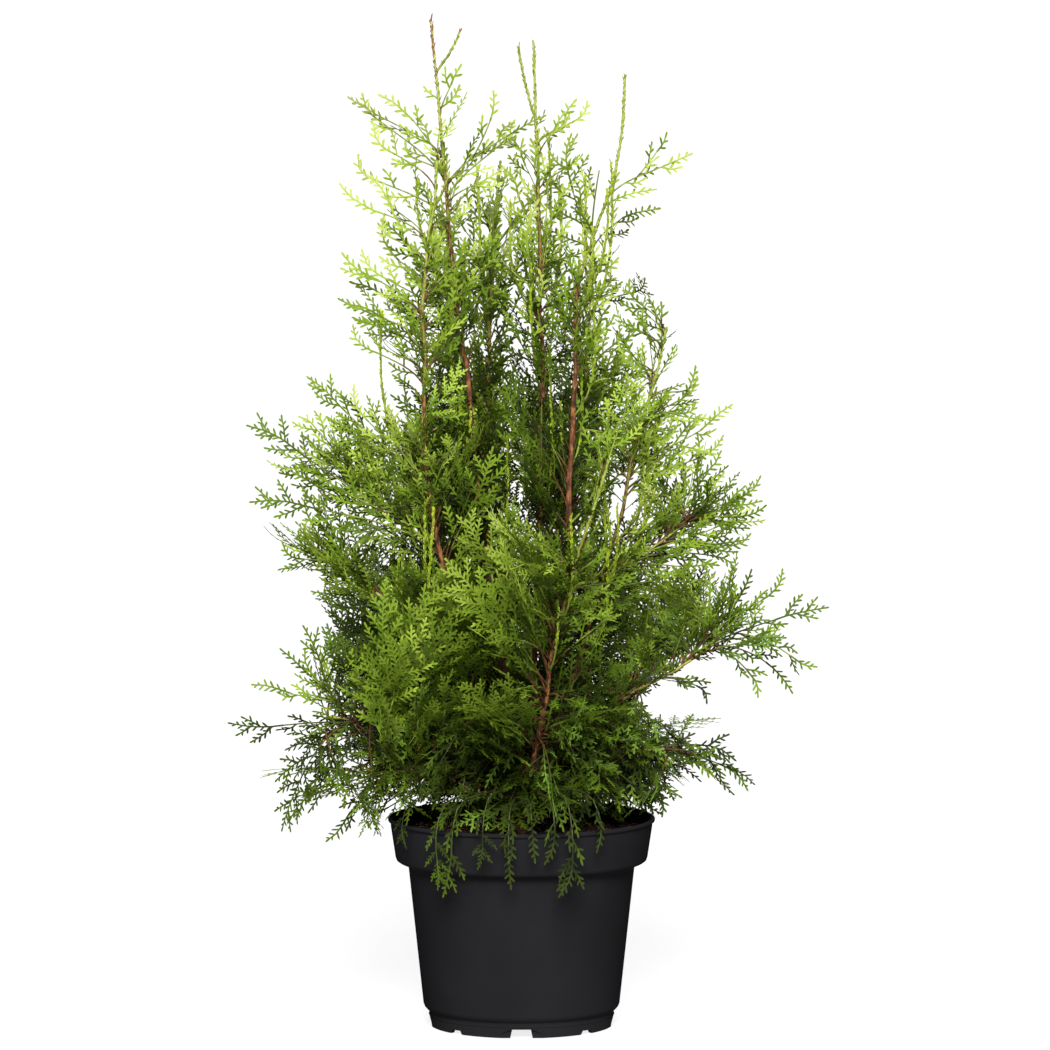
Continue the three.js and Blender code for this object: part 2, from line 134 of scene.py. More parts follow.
REACHES = [  # long fronds that end the boughs, in mm: foot x and z, tip x, y and z, and breadth
    (-66, 736, -108, -8, 806, 0.34), (-66, 728, -138, 4, 796, 0.16), (-66, 690, -146, 4, 742, 0.36),
    (-60, 712, -14, 6, 766, 0.42), (-66, 722, 10, -10, 788, 0.42), (-44, 748, -20, -4, 800, 0.34),
    (22, 640, 32, 20, 728, 0.42), (15, 628, 12, 28, 716, 0.45), (30, 640, 24, 26, 746, 0.42),
    (2, 650, -8, 24, 740, 0.42), (-8, 600, -14, -18, 672, 0.45), (74, 714, 140, -4, 752, 0.15),
    (96, 734, 123, 4, 764, 0.22), (58, 640, 38, -6, 764, 0.34), (62, 655, 74, 8, 770, 0.34),
    (66, 660, 104, -6, 716, 0.34), (-58, 622, -112, -8, 692, 0.5), (-58, 612, -134, 6, 690, 0.36),
    (-60, 600, -138, 4, 662, 0.36), (-2, 590, -4, -26, 708, 0.4), (-5, 540, -10, -36, 616, 0.45),
    (22, 540, 28, -34, 618, 0.45), (-5, 440, -8, -52, 520, 0.45), (78, 490, 94, -12, 566, 0.42),
    (66, 600, 108, -4, 640, 0.26), (-82, 455, -172, -6, 564, 0.42), (-80, 465, -150, -18, 548, 0.38),
    (-76, 440, -146, 10, 508, 0.42), (-84, 450, -160, 0, 526, 0.4), (-90, 430, -222, -6, 528, 0.3),
    (-90, 425, -206, 8, 486, 0.24), (-90, 400, -224, -4, 466, 0.3), (-88, 392, -150, -16, 446, 0.45),
    (-84, 380, -130, 12, 416, 0.45), (-95, 340, -205, 4, 372, 0.1), (-110, 300, -202, -6, 326, 0.1),
    (-130, 276, -228, -4, 297, 0.2), (95, 470, 176, -4, 536, 0.4), (95, 455, 176, 8, 500, 0.36),
    (100, 500, 154, 2, 562, 0.34), (95, 460, 150, -10, 528, 0.36), (100, 390, 188, -6, 450, 0.36),
    (100, 372, 190, 8, 416, 0.36), (120, 360, 184, -6, 402, 0.42), (110, 350, 198, -4, 390, 0.3),
    (116, 344, 180, 8, 378, 0.42), (135, 322, 258, 4, 366, 0.12), (160, 336, 230, -8, 388, 0.2),
    (185, 332, 248, -10, 306, 0.22), (168, 326, 233, 8, 290, 0.2), (150, 330, 208, -12, 290, 0.22),
    (110, 316, 163, -8, 286, 0.32), (112, 314, 146, 8, 294, 0.42), (70, 236, 184, -4, 243, 0.3),
    (100, 240, 198, 4, 211, 0.2), (84, 214, 128, 8, 184, 0.3), (-110, 250, -248, -4, 255, 0.12),
    (-110, 252, -232, 6, 228, 0.22), (-50, 206, -88, -34, 196, 0.4), (-50, 206, -86, 26, 194, 0.4),
    (50, 208, 88, -26, 194, 0.4), (50, 208, 86, 26, 192, 0.4), (-100, 220, -202, -10, 184, 0.22),
    (-90, 212, -164, 4, 158, 0.24), (-84, 208, -130, -12, 176, 0.3),
]
DRAPES = [  # fronds that hang over the rim: degrees round the pot, height of the tip in mm, and tone (low: painted shade)
    (-160, 158, -0.6), (-143, 152, -0.6), (-125, 122, 0.3), (-118, 117, 0.1), (-105, 142, -0.8),
    (-95, 127, -0.8), (-86, 150, -0.9), (-70, 117, 0.3), (-77, 146, -0.5), (-58, 155, -0.8),
    (30, 160, 0.2), (75, 140, 0.2), (120, 152, 0.2),
]
SKIRT = {  # short fronds at the feet of the stems
    "count": 380, "below": 0.29, "above": 172 * MM, "long": (0.045, 0.10), "room": 45 * MM, "front": -40 * MM,
}
MANNERS = {  # how fronds are dressed, as shares of their length, and their shortest side spray
    "held": {"bare": 0.25, "brown": 0.5, "end": 0.5, "least": 23 * MM},  # keeps within the crown's masses
    "reach": {"bare": 0.1, "brown": 0.12, "end": 0.4, "least": 15 * MM},
    "skirt": {"bare": 0.2, "brown": 0.6, "end": 0.5, "least": 23 * MM},
    "drape": {"bare": 0.25, "brown": 0.3, "end": 0.27, "least": 15 * MM},
}
SHOOTS = {  # upright young shoots: where their feet are, and how long they are
    "count": 48, "within": 88 * MM, "behind": 25 * MM, "low": 0.30, "high": 0.64, "long": (80 * MM, 165 * MM),
    "finger": 5.5 * MM,
}

# ---------------------------------------------------------------- materials


def linear(hex_colour):
    """An sRGB hex colour as linear red, green, blue, alpha."""
    parts = [int(hex_colour[i : i + 2], 16) / 255 for i in (1, 3, 5)]
    return [p / 12.92 if p <= 0.04045 else ((p + 0.055) / 1.055) ** 2.4 for p in parts] + [1.0]


def new_material(name, colour, roughness, specular=0.5):
    """A material with those plain values, and its node tree and shader."""
    material = bpy.data.materials.new(name)
    material.use_nodes = True
    shader = material.node_tree.nodes["Principled BSDF"]
    shader.inputs["Base Color"].default_value = linear(colour)
    shader.inputs["Roughness"].default_value = roughness
    shader.inputs["Specular IOR Level"].default_value = specular
    return material, material.node_tree, shader


def add_node(tree, kind, settings=None, values=None, links=None, stops=()):
    """A node with its settings, its input values, links from (node, output) to its inputs, and, where it
    is a colour ramp, its (position, hex colour) stops."""
    node = tree.nodes.new(kind)
    for key, value in (settings or {}).items():
        setattr(node, key, value)
    for key, value in (values or {}).items():
        node.inputs[key].default_value = value
    for key, (source, output) in (links or {}).items():
        tree.links.new(source.outputs[output], node.inputs[key])
    for index, (position, colour) in enumerate(stops):
        elements = node.color_ramp.elements
        element = elements.new(position) if index > 1 else elements[index]
        element.position = position
        element.color = linear(colour)
    return node


def per_metre(size):
    """A noise or wave scale whose pattern repeats about every `size` metres."""
    return 1 / size


# Live scale leaves, slightly waxy: a soft sheen. Each tone is one plain colour, dealt out by spray.
# The darkest, gloom and shade, are painted shade deep inside and low under the crown; the palest are
# partly painted light on the crown's top.
LEAF_TONES = {
    "gloom": "#161d05",
    "shade": "#222c08",
    "deep": "#32410b",
    "mid": "#445711",
    "fresh": "#5a6e1c",
    "lime": "#73842f",
    "tip": "#848f46",
    "cool_deep": "#33440f",
    "cool": "#4b6220",
    "bronze": "#6b4a33",
    "vivid": "#7f911c",
}
COOL, BRONZE, VIVID = (list(LEAF_TONES).index(tone) for tone in ("cool_deep", "bronze", "vivid"))


def leaf_material(tone):
    return new_material("scale_leaf_" + tone, LEAF_TONES[tone], roughness=0.55, specular=0.06)[0]


def wire(tree, shader, colours, bump=None):
    """Feeds the shader's colour from a ramp and, where there is one, its normal from a bump."""
    tree.links.new(colours.outputs["Color"], shader.inputs["Base Color"])
    if bump:
        tree.links.new(bump.outputs["Normal"], shader.inputs["Normal"])


def bark_material(name, low, high, young):
    """Thin stringy thuja bark: long fibres along the stem in mottled red-browns, lighter where it peels."""
    material, tree, shader = new_material(name, low, roughness=0.8, specular=0.25)
    place = add_node(tree, "ShaderNodeTexCoord")
    along = {"Scale": (1.0, 1.0, 0.12)}
    squeeze = add_node(tree, "ShaderNodeMapping", values=along, links={"Vector": (place, "Object")})
    fine = {"Scale": per_metre(1.6 * MM), "Detail": 4.0, "Roughness": 0.6}
    fibres = add_node(tree, "ShaderNodeTexNoise", values=fine, links={"Vector": (squeeze, "Vector")})
    broad = {"Scale": per_metre(9 * MM), "Detail": 3.0, "Roughness": 0.6}
    patches = add_node(tree, "ShaderNodeTexNoise", values=broad, links={"Vector": (place, "Object")})
    times = {"operation": "MULTIPLY"}
    halved = add_node(tree, "ShaderNodeMath", settings=times, values={1: 0.5}, links={0: (patches, "Fac")})
    both = {0: (fibres, "Fac"), 2: (halved, "Value")}
    mixing = {"operation": "MULTIPLY_ADD"}
    mottled = add_node(tree, "ShaderNodeMath", settings=mixing, values={1: 0.5}, links=both)
    tones = [(0.41, low), (0.5, high), (0.59, young)]
    colours = add_node(tree, "ShaderNodeValToRGB", links={"Fac": (mottled, "Value")}, stops=tones)
    ridges = {"Strength": 0.5, "Distance": 0.35 * MM}
    bump = add_node(tree, "ShaderNodeBump", values=ridges, links={"Height": (fibres, "Fac")})
    wire(tree, shader, colours, bump)
    return material


def shoot_material(name, dark, light):
    """A young twig's thin skin, between two close tones along its length."""
    material, tree, shader = new_material(name, light, roughness=0.6, specular=0.25)
    place = add_node(tree, "ShaderNodeTexCoord")
    spots = {"Scale": per_metre(5 * MM), "Detail": 3.0}
    patches = add_node(tree, "ShaderNodeTexNoise", values=spots, links={"Vector": (place, "Object")})
    tones = [(0.38, dark), (0.62, light)]
    wire(tree, shader, add_node(tree, "ShaderNodeValToRGB", links={"Fac": (patches, "Fac")}, stops=tones))
    return material


def pot_material():
    """Injection-moulded black polypropylene: satin, with a very fine orange-peel grain."""
    name = "moulded_black_polypropylene"
    material, tree, shader = new_material(name, "#161617", roughness=0.6, specular=0.0)
    place = add_node(tree, "ShaderNodeTexCoord")
    peel = {"Scale": per_metre(1.4 * MM), "Detail": 2.0}
    grain = add_node(tree, "ShaderNodeTexNoise", values=peel, links={"Vector": (place, "Object")})
    low = {"Strength": 0.12, "Distance": 0.1 * MM}
    bump = add_node(tree, "ShaderNodeBump", values=low, links={"Height": (grain, "Fac")})
    broad = {"Scale": per_metre(60 * MM), "Detail": 2.0}
    cloud = add_node(tree, "ShaderNodeTexNoise", values=broad, links={"Vector": (place, "Object")})
    tones = [(0.3, "#151516"), (0.7, "#18181a")]
    colours = add_node(tree, "ShaderNodeValToRGB", links={"Fac": (cloud, "Fac")}, stops=tones)
    wire(tree, shader, colours, bump)
    return material


def peat_material():
    """Moist peat compost: dark red-brown crumbs, matt, with paler dry flecks."""
    material, tree, shader = new_material("moist_peat", "#2c1812", roughness=0.95, specular=0.15)
    place = add_node(tree, "ShaderNodeTexCoord")
    lumps = {"Scale": per_metre(4 * MM), "Detail": 6.0, "Roughness": 0.7}
    crumbs = add_node(tree, "ShaderNodeTexNoise", values=lumps, links={"Vector": (place, "Object")})
    tones = [(0.3, "#0d0705"), (0.52, "#1f110d"), (0.75, "#3a221a")]
    colours = add_node(tree, "ShaderNodeValToRGB", links={"Fac": (crumbs, "Fac")}, stops=tones)
    high = {"Strength": 0.9, "Distance": 1.5 * MM}
    bump = add_node(tree, "ShaderNodeBump", values=high, links={"Height": (crumbs, "Fac")})
    wire(tree, shader, colours, bump)
    return material


# ---------------------------------------------------------------- small tools


def unit(vector):
    return vector / max(np.linalg.norm(vector), 1e-9)


def turn(vector, axis, angle):
    """A vector turned about a unit axis."""
    c, s = math.cos(angle), math.sin(angle)
    return vector * c + np.cross(axis, vector) * s + axis * np.dot(axis, vector) * (1 - c)


def lengths_along(path):
    """How far along a path each of its points is."""
    return np.concatenate([[0], np.cumsum(np.linalg.norm(np.diff(path, axis=0), axis=1))])


def ways_along(path):
    """The way a path runs at each of its points, as unit vectors."""
    ways = np.gradient(path, axis=0)
    return ways / np.linalg.norm(ways, axis=1)[:, None]


def read_at(s, reach, rows):
    """What a path's rows of three values come to s metres along it; reach is how far each row is."""
    return np.stack([np.interp(s, reach, rows[:, k]) for k in range(3)], axis=-1)


def across_at(s, reach, ways, angle):
    """The way a path runs s metres along it, and a way across it turned about it by an angle."""
    along = unit(read_at(s, reach, ways))
    return along, turn(unit(np.cross(along, [0.3, 1, 0.1])), along, angle)


def outward(angle, rise=0.0):
    """One metre out at an angle about Z, and up by rise."""
    return np.array([math.cos(angle), math.sin(angle), rise])


def mesh_object(name, points, faces, materials, face_materials=None, smooth=False):
    """An object from arrays of points and triangles, with its place in its mesh."""
    points = np.asarray(points, dtype=np.float32)
    faces = np.asarray(faces, dtype=np.int32)
    mesh = bpy.data.meshes.new(name)
    mesh.vertices.add(len(points))
    mesh.vertices.foreach_set("co", points.ravel())
    mesh.loops.add(faces.size)
    mesh.loops.foreach_set("vertex_index", faces.ravel())
    mesh.polygons.add(len(faces))
    mesh.polygons.foreach_set("loop_start", np.arange(0, faces.size, 3, dtype=np.int32))
    for material in materials:
        mesh.materials.append(material)
    if face_materials is not None:
        mesh.polygons.foreach_set("material_index", np.asarray(face_materials, dtype=np.int32))
    mesh.polygons.foreach_set("use_smooth", np.full(len(faces), smooth))
    mesh.update(calc_edges=True)
    mesh.validate()
    obj = bpy.data.objects.new(name, mesh)
    bpy.context.scene.collection.objects.link(obj)
    return obj


def declare(obj, slot_name, *nodes):
    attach(obj, "root")
    if nodes:
        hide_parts(*nodes)


class Pile:
    """Triangles gathered for one joined piece."""

    def __init__(self):
        self.points, self.faces, self.kinds, self.count = [], [], [], 0

    def add(self, points, faces, kinds):
        self.points.append(points)
        self.faces.append(faces + self.count)
        self.kinds.append(np.broadcast_to(kinds, len(faces)))
        self.count += len(points)

    def build(self, name, materials, smooth=False):
        kinds = np.concatenate(self.kinds)
        points, faces = np.concatenate(self.points), np.concatenate(self.faces)
        return mesh_object(name, points, faces, materials, kinds, smooth)


def tube(path, radii, sides, relief=None):
    """Points and triangles of a closed tube along a path, with its ends drawn to points."""
    path = np.asarray(path)
    tangents = ways_along(path)
    side = unit(np.cross(tangents[0], [0.36, 0.48, 0.8] if abs(tangents[0][2]) > 0.9 else UP))
    rings = []
    angles = np.arange(sides) * 2 * math.pi / sides
    for i, (centre, tangent) in enumerate(zip(path, tangents)):
        side = unit(side - tangent * np.dot(side, tangent))
        other = np.cross(tangent, side)
        radius = radii[i] * (np.ones(sides) if relief is None else relief[i])
        rings.append(
            centre + radius[:, None] * (np.cos(angles)[:, None] * side + np.sin(angles)[:, None] * other)
        )
    ends = [path[:1] - tangents[:1] * radii[0] * 0.4, path[-1:] + tangents[-1:] * radii[-1]]
    points = np.concatenate(rings + ends)
    first, last = len(path) * sides, len(path) * sides + 1
    k = np.arange(sides)
    nxt = (k + 1) % sides
    faces = []
    for i in range(len(path) - 1):
        a, b = i * sides, (i + 1) * sides
        faces.append(np.stack([a + k, a + nxt, b + nxt], axis=1))
        faces.append(np.stack([a + k, b + nxt, b + k], axis=1))
    faces.append(np.stack([np.full(sides, first), nxt, k], axis=1))
    end = (len(path) - 1) * sides
    faces.append(np.stack([np.full(sides, last), end + k, end + nxt], axis=1))
    return points, np.concatenate(faces)


# ---------------------------------------------------------------- reading the solids


def node_mesh(name):
    """World points and triangles of a CAD node."""
    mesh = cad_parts[name].data
    points = np.empty(len(mesh.vertices) * 3)
    mesh.vertices.foreach_get("co", points)
    mesh.calc_loop_triangles()
    faces = np.empty(len(mesh.loop_triangles) * 3, dtype=np.int32)
    mesh.loop_triangles.foreach_get("vertices", faces)
    return points.reshape(-1, 3), faces.reshape(-1, 3)


def centre_line(name):
    """Points and radii along the middle of a limb's solid, from its lower end to its upper end."""
    points, faces = node_mesh(name)
    middle = points.mean(axis=0)
    chord = np.linalg.svd(points - middle, full_matrices=False)[2][0]
    ends = (points - middle) @ chord
    low, high = points[ends.argmin()], points[ends.argmax()]
    hub = np.array([0.0, 0.0, low[2]])
    if np.linalg.norm(low - hub) > np.linalg.norm(high - hub):
        chord, ends = -chord, -ends
    edges = np.concatenate([faces[:, [0, 1]], faces[:, [1, 2]], faces[:, [2, 0]]])
    start, stop = ends[edges[:, 0]], ends[edges[:, 1]]
    centres, radii = [], []
    for share in np.linspace(0.03, 0.985, LIMB_STATIONS):
        level = ends.min() + share * (ends.max() - ends.min())
        crossing = (start < level) != (stop < level)
        t = ((level - start) / (stop - start + 1e-12))[crossing][:, None]
        cut = points[edges[crossing, 0]] * (1 - t) + points[edges[crossing, 1]] * t
        centre = cut.mean(axis=0)
        centres.append(centre)
        radii.append(np.linalg.norm(cut - centre, axis=1).mean())
    return np.array(centres), np.array(radii)


def resample(path, values, step):
    """A smooth path through the points at about that step, with the values carried along it."""
    reach = lengths_along(path)
    count = max(6, int(reach[-1] / step))
    at = np.linspace(0, reach[-1], count)
    fine = read_at(at, reach, path)
    window = max(3, count // len(path)) | 1
    kernel = np.ones(window) / window
    padded = np.pad(fine, ((window // 2, window // 2), (0, 0)), mode="reflect", reflect_type="odd")
    fine = np.stack([np.convolve(padded[:, k], kernel, mode="valid") for k in range(3)], axis=1)
    return fine, np.interp(at, reach, values)


LIMBS = [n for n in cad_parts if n.startswith(("stool", "leader_", "stem_", "bough_"))]
FORKS = {  # how far below a limb's tip its fork leaves, and the fork's tip sideways and down from the limb's
    "leader_left": (44 * MM, 24 * MM, 9 * MM),
    "leader_middle": (64 * MM, -13 * MM, 2 * MM),
    "stem_left": (40 * MM, 10 * MM, 12 * MM),
}
LEADERS = ["leader_left", "leader_middle", "leader_right_tip"]
LEADERS += ["stem_left", "stem_back_left", "stem_right", "stem_front"]
MASSES = [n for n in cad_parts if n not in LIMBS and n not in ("pot", "compost")]


def wandering(name, rng):
    """A limb's middle line with the slight zigzag of its nodes, and its radii, thinner to the tip."""
    path, radii = resample(*centre_line(name), BARK["line_step"])
    count = len(path)
    knots = max(3, int(count * BARK["line_step"] / BARK["node_step"]))
    shift = rng.normal(0, BARK["zigzag"], (knots, 3))
    shift[0] = shift[-1] = 0
    sway = read_at(np.linspace(0, knots - 1, count), np.arange(knots), shift)
    slim = 1 if name == "stool" else np.linspace(0.58 if name == "stem_front" else 0.7, 0.85, count)
    return path + sway, radii * slim


lines = {name: wandering(name, np.random.default_rng(50 + i)) for i, name in enumerate(LIMBS)}

# ---------------------------------------------------------------- bark over the limbs


def bark_relief(count, rng):
    """Radius factors of a limb's skin: long shallow ridges and a knot wherever a shoot once left."""
    sides = BARK["sides"]
    ridges = np.zeros((count, sides))
    for _ in range(5):
        waves = rng.integers(2, 5)
        drift = rng.uniform(-0.02, 0.02)
        phase = rng.uniform(0, 2 * math.pi)
        angles = np.arange(sides)[None, :] * 2 * math.pi / sides * waves
        ridges += np.sin(angles + phase + drift * np.arange(count)[:, None] * waves)
    relief = 1 + BARK["ridge"] * ridges / 5 + rng.normal(0, 0.02, (count, sides))
    step = max(2, int(BARK["knot_step"] / BARK["ring_step"]))
    for ring in range(step, count - 1, step):
        side = rng.integers(sides)
        relief[ring, side] += BARK["knot"]
        relief[ring, (side + 1) % sides] += BARK["knot"] * 0.6
        relief[ring - 1, side] += BARK["knot"] * 0.4
    return relief


def build_bark(name, materials, rng):
    """The bark mesh of one limb: stringy brown at its foot, redder and then green where it is thin."""
    path, radii = resample(*lines[name], BARK["ring_step"])
    points, faces = tube(path, radii, BARK["sides"], relief=bark_relief(len(path), rng))
    sides, last = BARK["sides"], len(path) - 1
    ring = np.concatenate([np.repeat(np.arange(last), 2 * sides), np.zeros(sides), np.full(sides, last)])
    thickness = radii[ring.astype(int)] + rng.normal(0, 0.16 * MM, len(faces))
    kinds = np.digitize(-thickness, BARK["thins_at"])
    if name == "stool":
        kinds = 0
    pile = Pile()
    pile.add(points, faces, kinds)
    obj = pile.build("bark_" + name, materials, smooth=True)
    declare(obj, "bark", name)


# ---------------------------------------------------------------- sprays of scale leaves


def finger(base, way, length, width):
    """A blunt scale-covered finger in the spray's plane, its end lifted a little: three triangles."""
    side = np.array([-way[1], way[0], 0.0]) * width / 2
    middle = base + way * length * FINGER["wide_at"]
    end = base + way * length + UP * FINGER["rise"]
    foot = side * FINGER["foot"]
    points = np.array([base - foot, middle - side, end, middle + side, base + foot])
    return points, np.array([[0, 1, 3], [0, 3, 4], [1, 2, 3]])


def strand(path, widths, young, rise=0.0):
    """A scaly strand along a path in the spray's plane: flat, or ridged where rise is given. Its faces
    are of kind 0, older, up to the share `young` of its length, and of kind 1 from there."""
    way = ways_along(path)
    side = np.stack([-way[:, 1], way[:, 0], np.zeros(len(path))], axis=1)
    half = np.asarray(widths)[:, None] / 2
    rows = [path + side * half, path - side * half]
    if rise:
        rows.insert(1, path + UP * rise)
    n = len(path)
    k = np.arange(n - 1)
    faces = []
    for row in range(len(rows) - 1):
        left, right = row * n + k, (row + 1) * n + k
        faces += [np.stack([left, right, right + 1], axis=1), np.stack([left, right + 1, left + 1], axis=1)]
    kinds = np.tile(((k + 0.5) / (n - 1) > young).astype(int), len(faces))
    return np.concatenate(rows), np.concatenate(faces), kinds


def comb(path, first, habit, side, young, rng, pile):
    """Fingers on both sides of a strand, from `first` metres along it, and one at its end."""
    reach = lengths_along(path)
    length = reach[-1]
    at = first + habit["finger_step"] * rng.uniform(0.8, 1.2)
    while at < length - 1 * MM:
        point = read_at(at, reach, path)
        leg = min(int(np.searchsorted(reach, at)), len(path) - 1)
        along = unit(path[leg] - path[leg - 1])
        share = at / length
        size = habit["finger"] * (0.75 + 0.4 * math.sin(2.6 * share)) * rng.uniform(0.85, 1.15)
        size *= min(1.0, 0.55 + 0.45 * (length - at) / (9 * MM))
        way = turn(along, UP, side * math.radians(rng.uniform(38, 52)))
        width = habit["finger_width"] * rng.uniform(0.85, 1.1)
        pile.add(*finger(point, way, max(size, FINGER["least"]), width), int(share > young))
        at += habit["finger_step"] * rng.uniform(0.85, 1.15)
        side = -side
    size = habit["finger"] * rng.uniform(0.7, 0.95)
    pile.add(*finger(path[-1], unit(path[-1] - path[-2]), size, habit["finger_width"]), 1)


def branchlet(base, way, length, side, habit, young, rng, pile):
    """One side branchlet of a spray: a strand that curves forwards, with its comb of fingers."""
    curl = rng.uniform(0.1, 0.5) * -side
    steps = max(2, int(length / (9 * MM)) + 1)
    path = [base]
    for _ in range(steps):
        path.append(path[-1] + way * length / steps)
        way = turn(way, UP, curl / steps)
    path = np.array(path)
    pile.add(*strand(path, habit["strand"] * np.linspace(1, 0.85, len(path)), young))
    comb(path, 0.5 * MM, habit, side, young, rng, pile)


def make_spray(length, habit, rng):
    """A flat spray along +X in its own plane, curving to -Y, with its upper side to +Z. Returns points,
    faces, kinds."""
    pile = Pile()
    n = max(5, int(length / (8 * MM)))
    heading = -rng.uniform(0.05, 0.75) * np.linspace(-0.3, 1, n) ** 2 + np.cumsum(rng.normal(0, 0.06, n))
    steps = np.stack([np.cos(heading), np.sin(heading), np.zeros(n)], axis=1) * length / (n - 1)
    axis = np.concatenate([[[0.0, 0.0, 0.0]], np.cumsum(steps[1:], axis=0)])
    reach = np.linspace(0, length, n)
    pile.add(*strand(axis, habit["strand"] * np.linspace(1.15, 0.85, n), OLDER_SHARE, 0.5 * MM))
    side = 1 if rng.random() < 0.5 else -1
    small = length < 4 * habit["step"]
    comb(axis, (0.1 if small else habit["comb_from"]) * length, habit, side, OLDER_SHARE, rng, pile)
    at = length if small else habit["step"] * rng.uniform(0.7, 1.2)
    widest = min(length * habit["reach"] * rng.uniform(0.85, 1.15), habit["longest"])
    while at < 0.8 * length:
        share = at / length
        size = widest * min(1.0, 0.65 + share * 2) * (1 - share) ** 0.6 * rng.uniform(0.8, 1.15) + 3 * MM
        spread = math.radians(np.interp(share, [0, 1], habit["spread"]) + rng.uniform(-6, 6)) * side
        spread += np.interp(at, reach, heading)
        branchlet(read_at(at, reach, axis), outward(spread), size, side, habit, 1 - share, rng, pile)
        at += habit["step"] * rng.uniform(0.85, 1.2)
        side = -side
    return np.concatenate(pile.points), np.concatenate(pile.faces), np.concatenate(pile.kinds)


def spray_library(rng):
    """Sprays of every habit and length: some that curve to the right, then their mirror images."""
    library = {}
    for habit, measures in HABITS.items():
        for length in SPRAY_LENGTHS:
            made = [make_spray(length, measures, rng) for _ in range(SPRAY_VARIANTS)]
            mirrored = [(points * [1, -1, 1], faces[:, ::-1], kinds) for points, faces, kinds in made]
            library[habit, length] = {-1: made, 1: mirrored}
    return library


def clear_of_pot(points):
    """Moves what would be in the compost or the pot's wall the shorter way, up over the rim or out.
    Returns None where that would crush the spray."""
    radius = np.maximum(np.hypot(points[:, 0], points[:, 1]), 1 * MM)
    in_wall = (radius > RIM["inner"]) & (radius < RIM["outer"]) & (points[:, 2] < RIM["top"])
    out = in_wall & (RIM["outer"] - radius < RIM["top"] - points[:, 2])
    lowest = np.where(in_wall & ~out, RIM["top"], np.where(radius <= RIM["inner"], PEAT_CLEAR, 0))
    moved = points.copy()
    moved[:, :2] *= np.where(out, RIM["outer"] / radius, 1)[:, None]
    moved[:, 2] = np.maximum(points[:, 2], lowest)
    return moved if np.linalg.norm(moved - points, axis=1).max() < MOST_MOVED else None


def place_spray(points, start, way, normal, rng, droop):
    """A spray's points where it grows: bent down by droop, cupped a little and slightly twisted."""
    length = points[:, 0].max()
    share = points[:, 0] / length
    twist = rng.uniform(-0.4, 0.4) * share
    y = points[:, 1] * np.cos(twist)
    z = points[:, 2] + points[:, 1] * np.sin(twist)
    z = z - points[:, 1] ** 2 * rng.uniform(1, 9) + np.sin(share * 5 + rng.uniform(0, 6)) * 0.7 * MM
    side = np.cross(normal, way)
    placed = start + points[:, :1] * way + y[:, None] * side + z[:, None] * normal
    placed[:, 2] -= droop * length * share**2
    return clear_of_pot(placed) if start[2] < NEAR_POT else placed


library = spray_library(np.random.default_rng(7))
twigs = Pile()

# ---------------------------------------------------------------- the crown's masses


class Mass:
    """A mass of foliage and the leaves that are gathered for its piece."""

    def __init__(self, name):
        self.name = name
        self.points, self.faces = node_mesh(name)
        self.middle = self.points.mean(axis=0)
        self.leaves = Pile()
        a, b, c = (self.points[self.faces[:, k]] for k in range(3))
        self.volume = abs(np.einsum("ij,ij->i", a, np.cross(b, c)).sum() / 6)
        areas = np.linalg.norm(np.cross(b - a, c - a), axis=1)
        self.face_share = areas / areas.sum()

    def surface_point(self, rng):
        face = self.faces[rng.choice(len(self.faces), p=self.face_share)]
        return rng.dirichlet([1, 1, 1]) @ self.points[face]


masses = [Mass(name) for name in MASSES]
offsets = np.cumsum([0] + [len(m.points) for m in masses])
crown = BVHTree.FromPolygons(
    np.concatenate([m.points for m in masses]).tolist(),
    np.concatenate([m.faces + o for m, o in zip(masses, offsets)]).tolist(),
)
owners = np.repeat(np.arange(len(masses)), [len(m.faces) for m in masses])


def outside(point):
    """How far a point lies outside the crown's masses, negative inside them, and the nearest mass."""
    place, normal, index, gap = crown.find_nearest(Vector(point))
    return (gap if (Vector(point) - place).dot(normal) > 0 else -gap), masses[owners[index]]


def leaves_by(point):
    """The leaves of the mass nearest to a point."""
    return outside(point)[1].leaves


# ---------------------------------------------------------------- the branching rule

limb_points = np.concatenate([lines[n][0] for n in LIMBS])
limb_ways = np.concatenate([ways_along(lines[n][0]) for n in LIMBS])
limb_crowding = np.zeros(len(limb_points))


def frond_targets(mass, count, rng):
    """Well spread points in the mass: its tip first, then most on its surface and some inside it."""
    reach = np.linalg.norm(mass.points[:, :2], axis=1) + 0.6 * (mass.points[:, 2] - mass.middle[2])
    chosen = [mass.points[reach.argmax()].copy()]
    tries = np.array([mass.surface_point(rng) for _ in range(40 * count)])
    inward = rng.random(len(tries))[:, None] < 0.3
    drawn_in = mass.middle + (tries - mass.middle) * rng.uniform(0.3, 0.8, (len(tries), 1))
    tries = np.where(inward, drawn_in, tries)
    upward = np.interp(mass.middle[2], [0.22, 0.3], [0.0, 0.9])
    lift = (tries - mass.middle) @ (unit(mass.middle * [1, 1, 0]) + UP * upward)
    tries = tries[lift > np.quantile(lift, 0.3)]
    while len(chosen) < count:
        apart = np.min([np.linalg.norm(tries - c, axis=1) for c in chosen], axis=0)
        chosen.append(tries[(apart * rng.uniform(0.7, 1.3, len(tries))).argmax()])
    return chosen


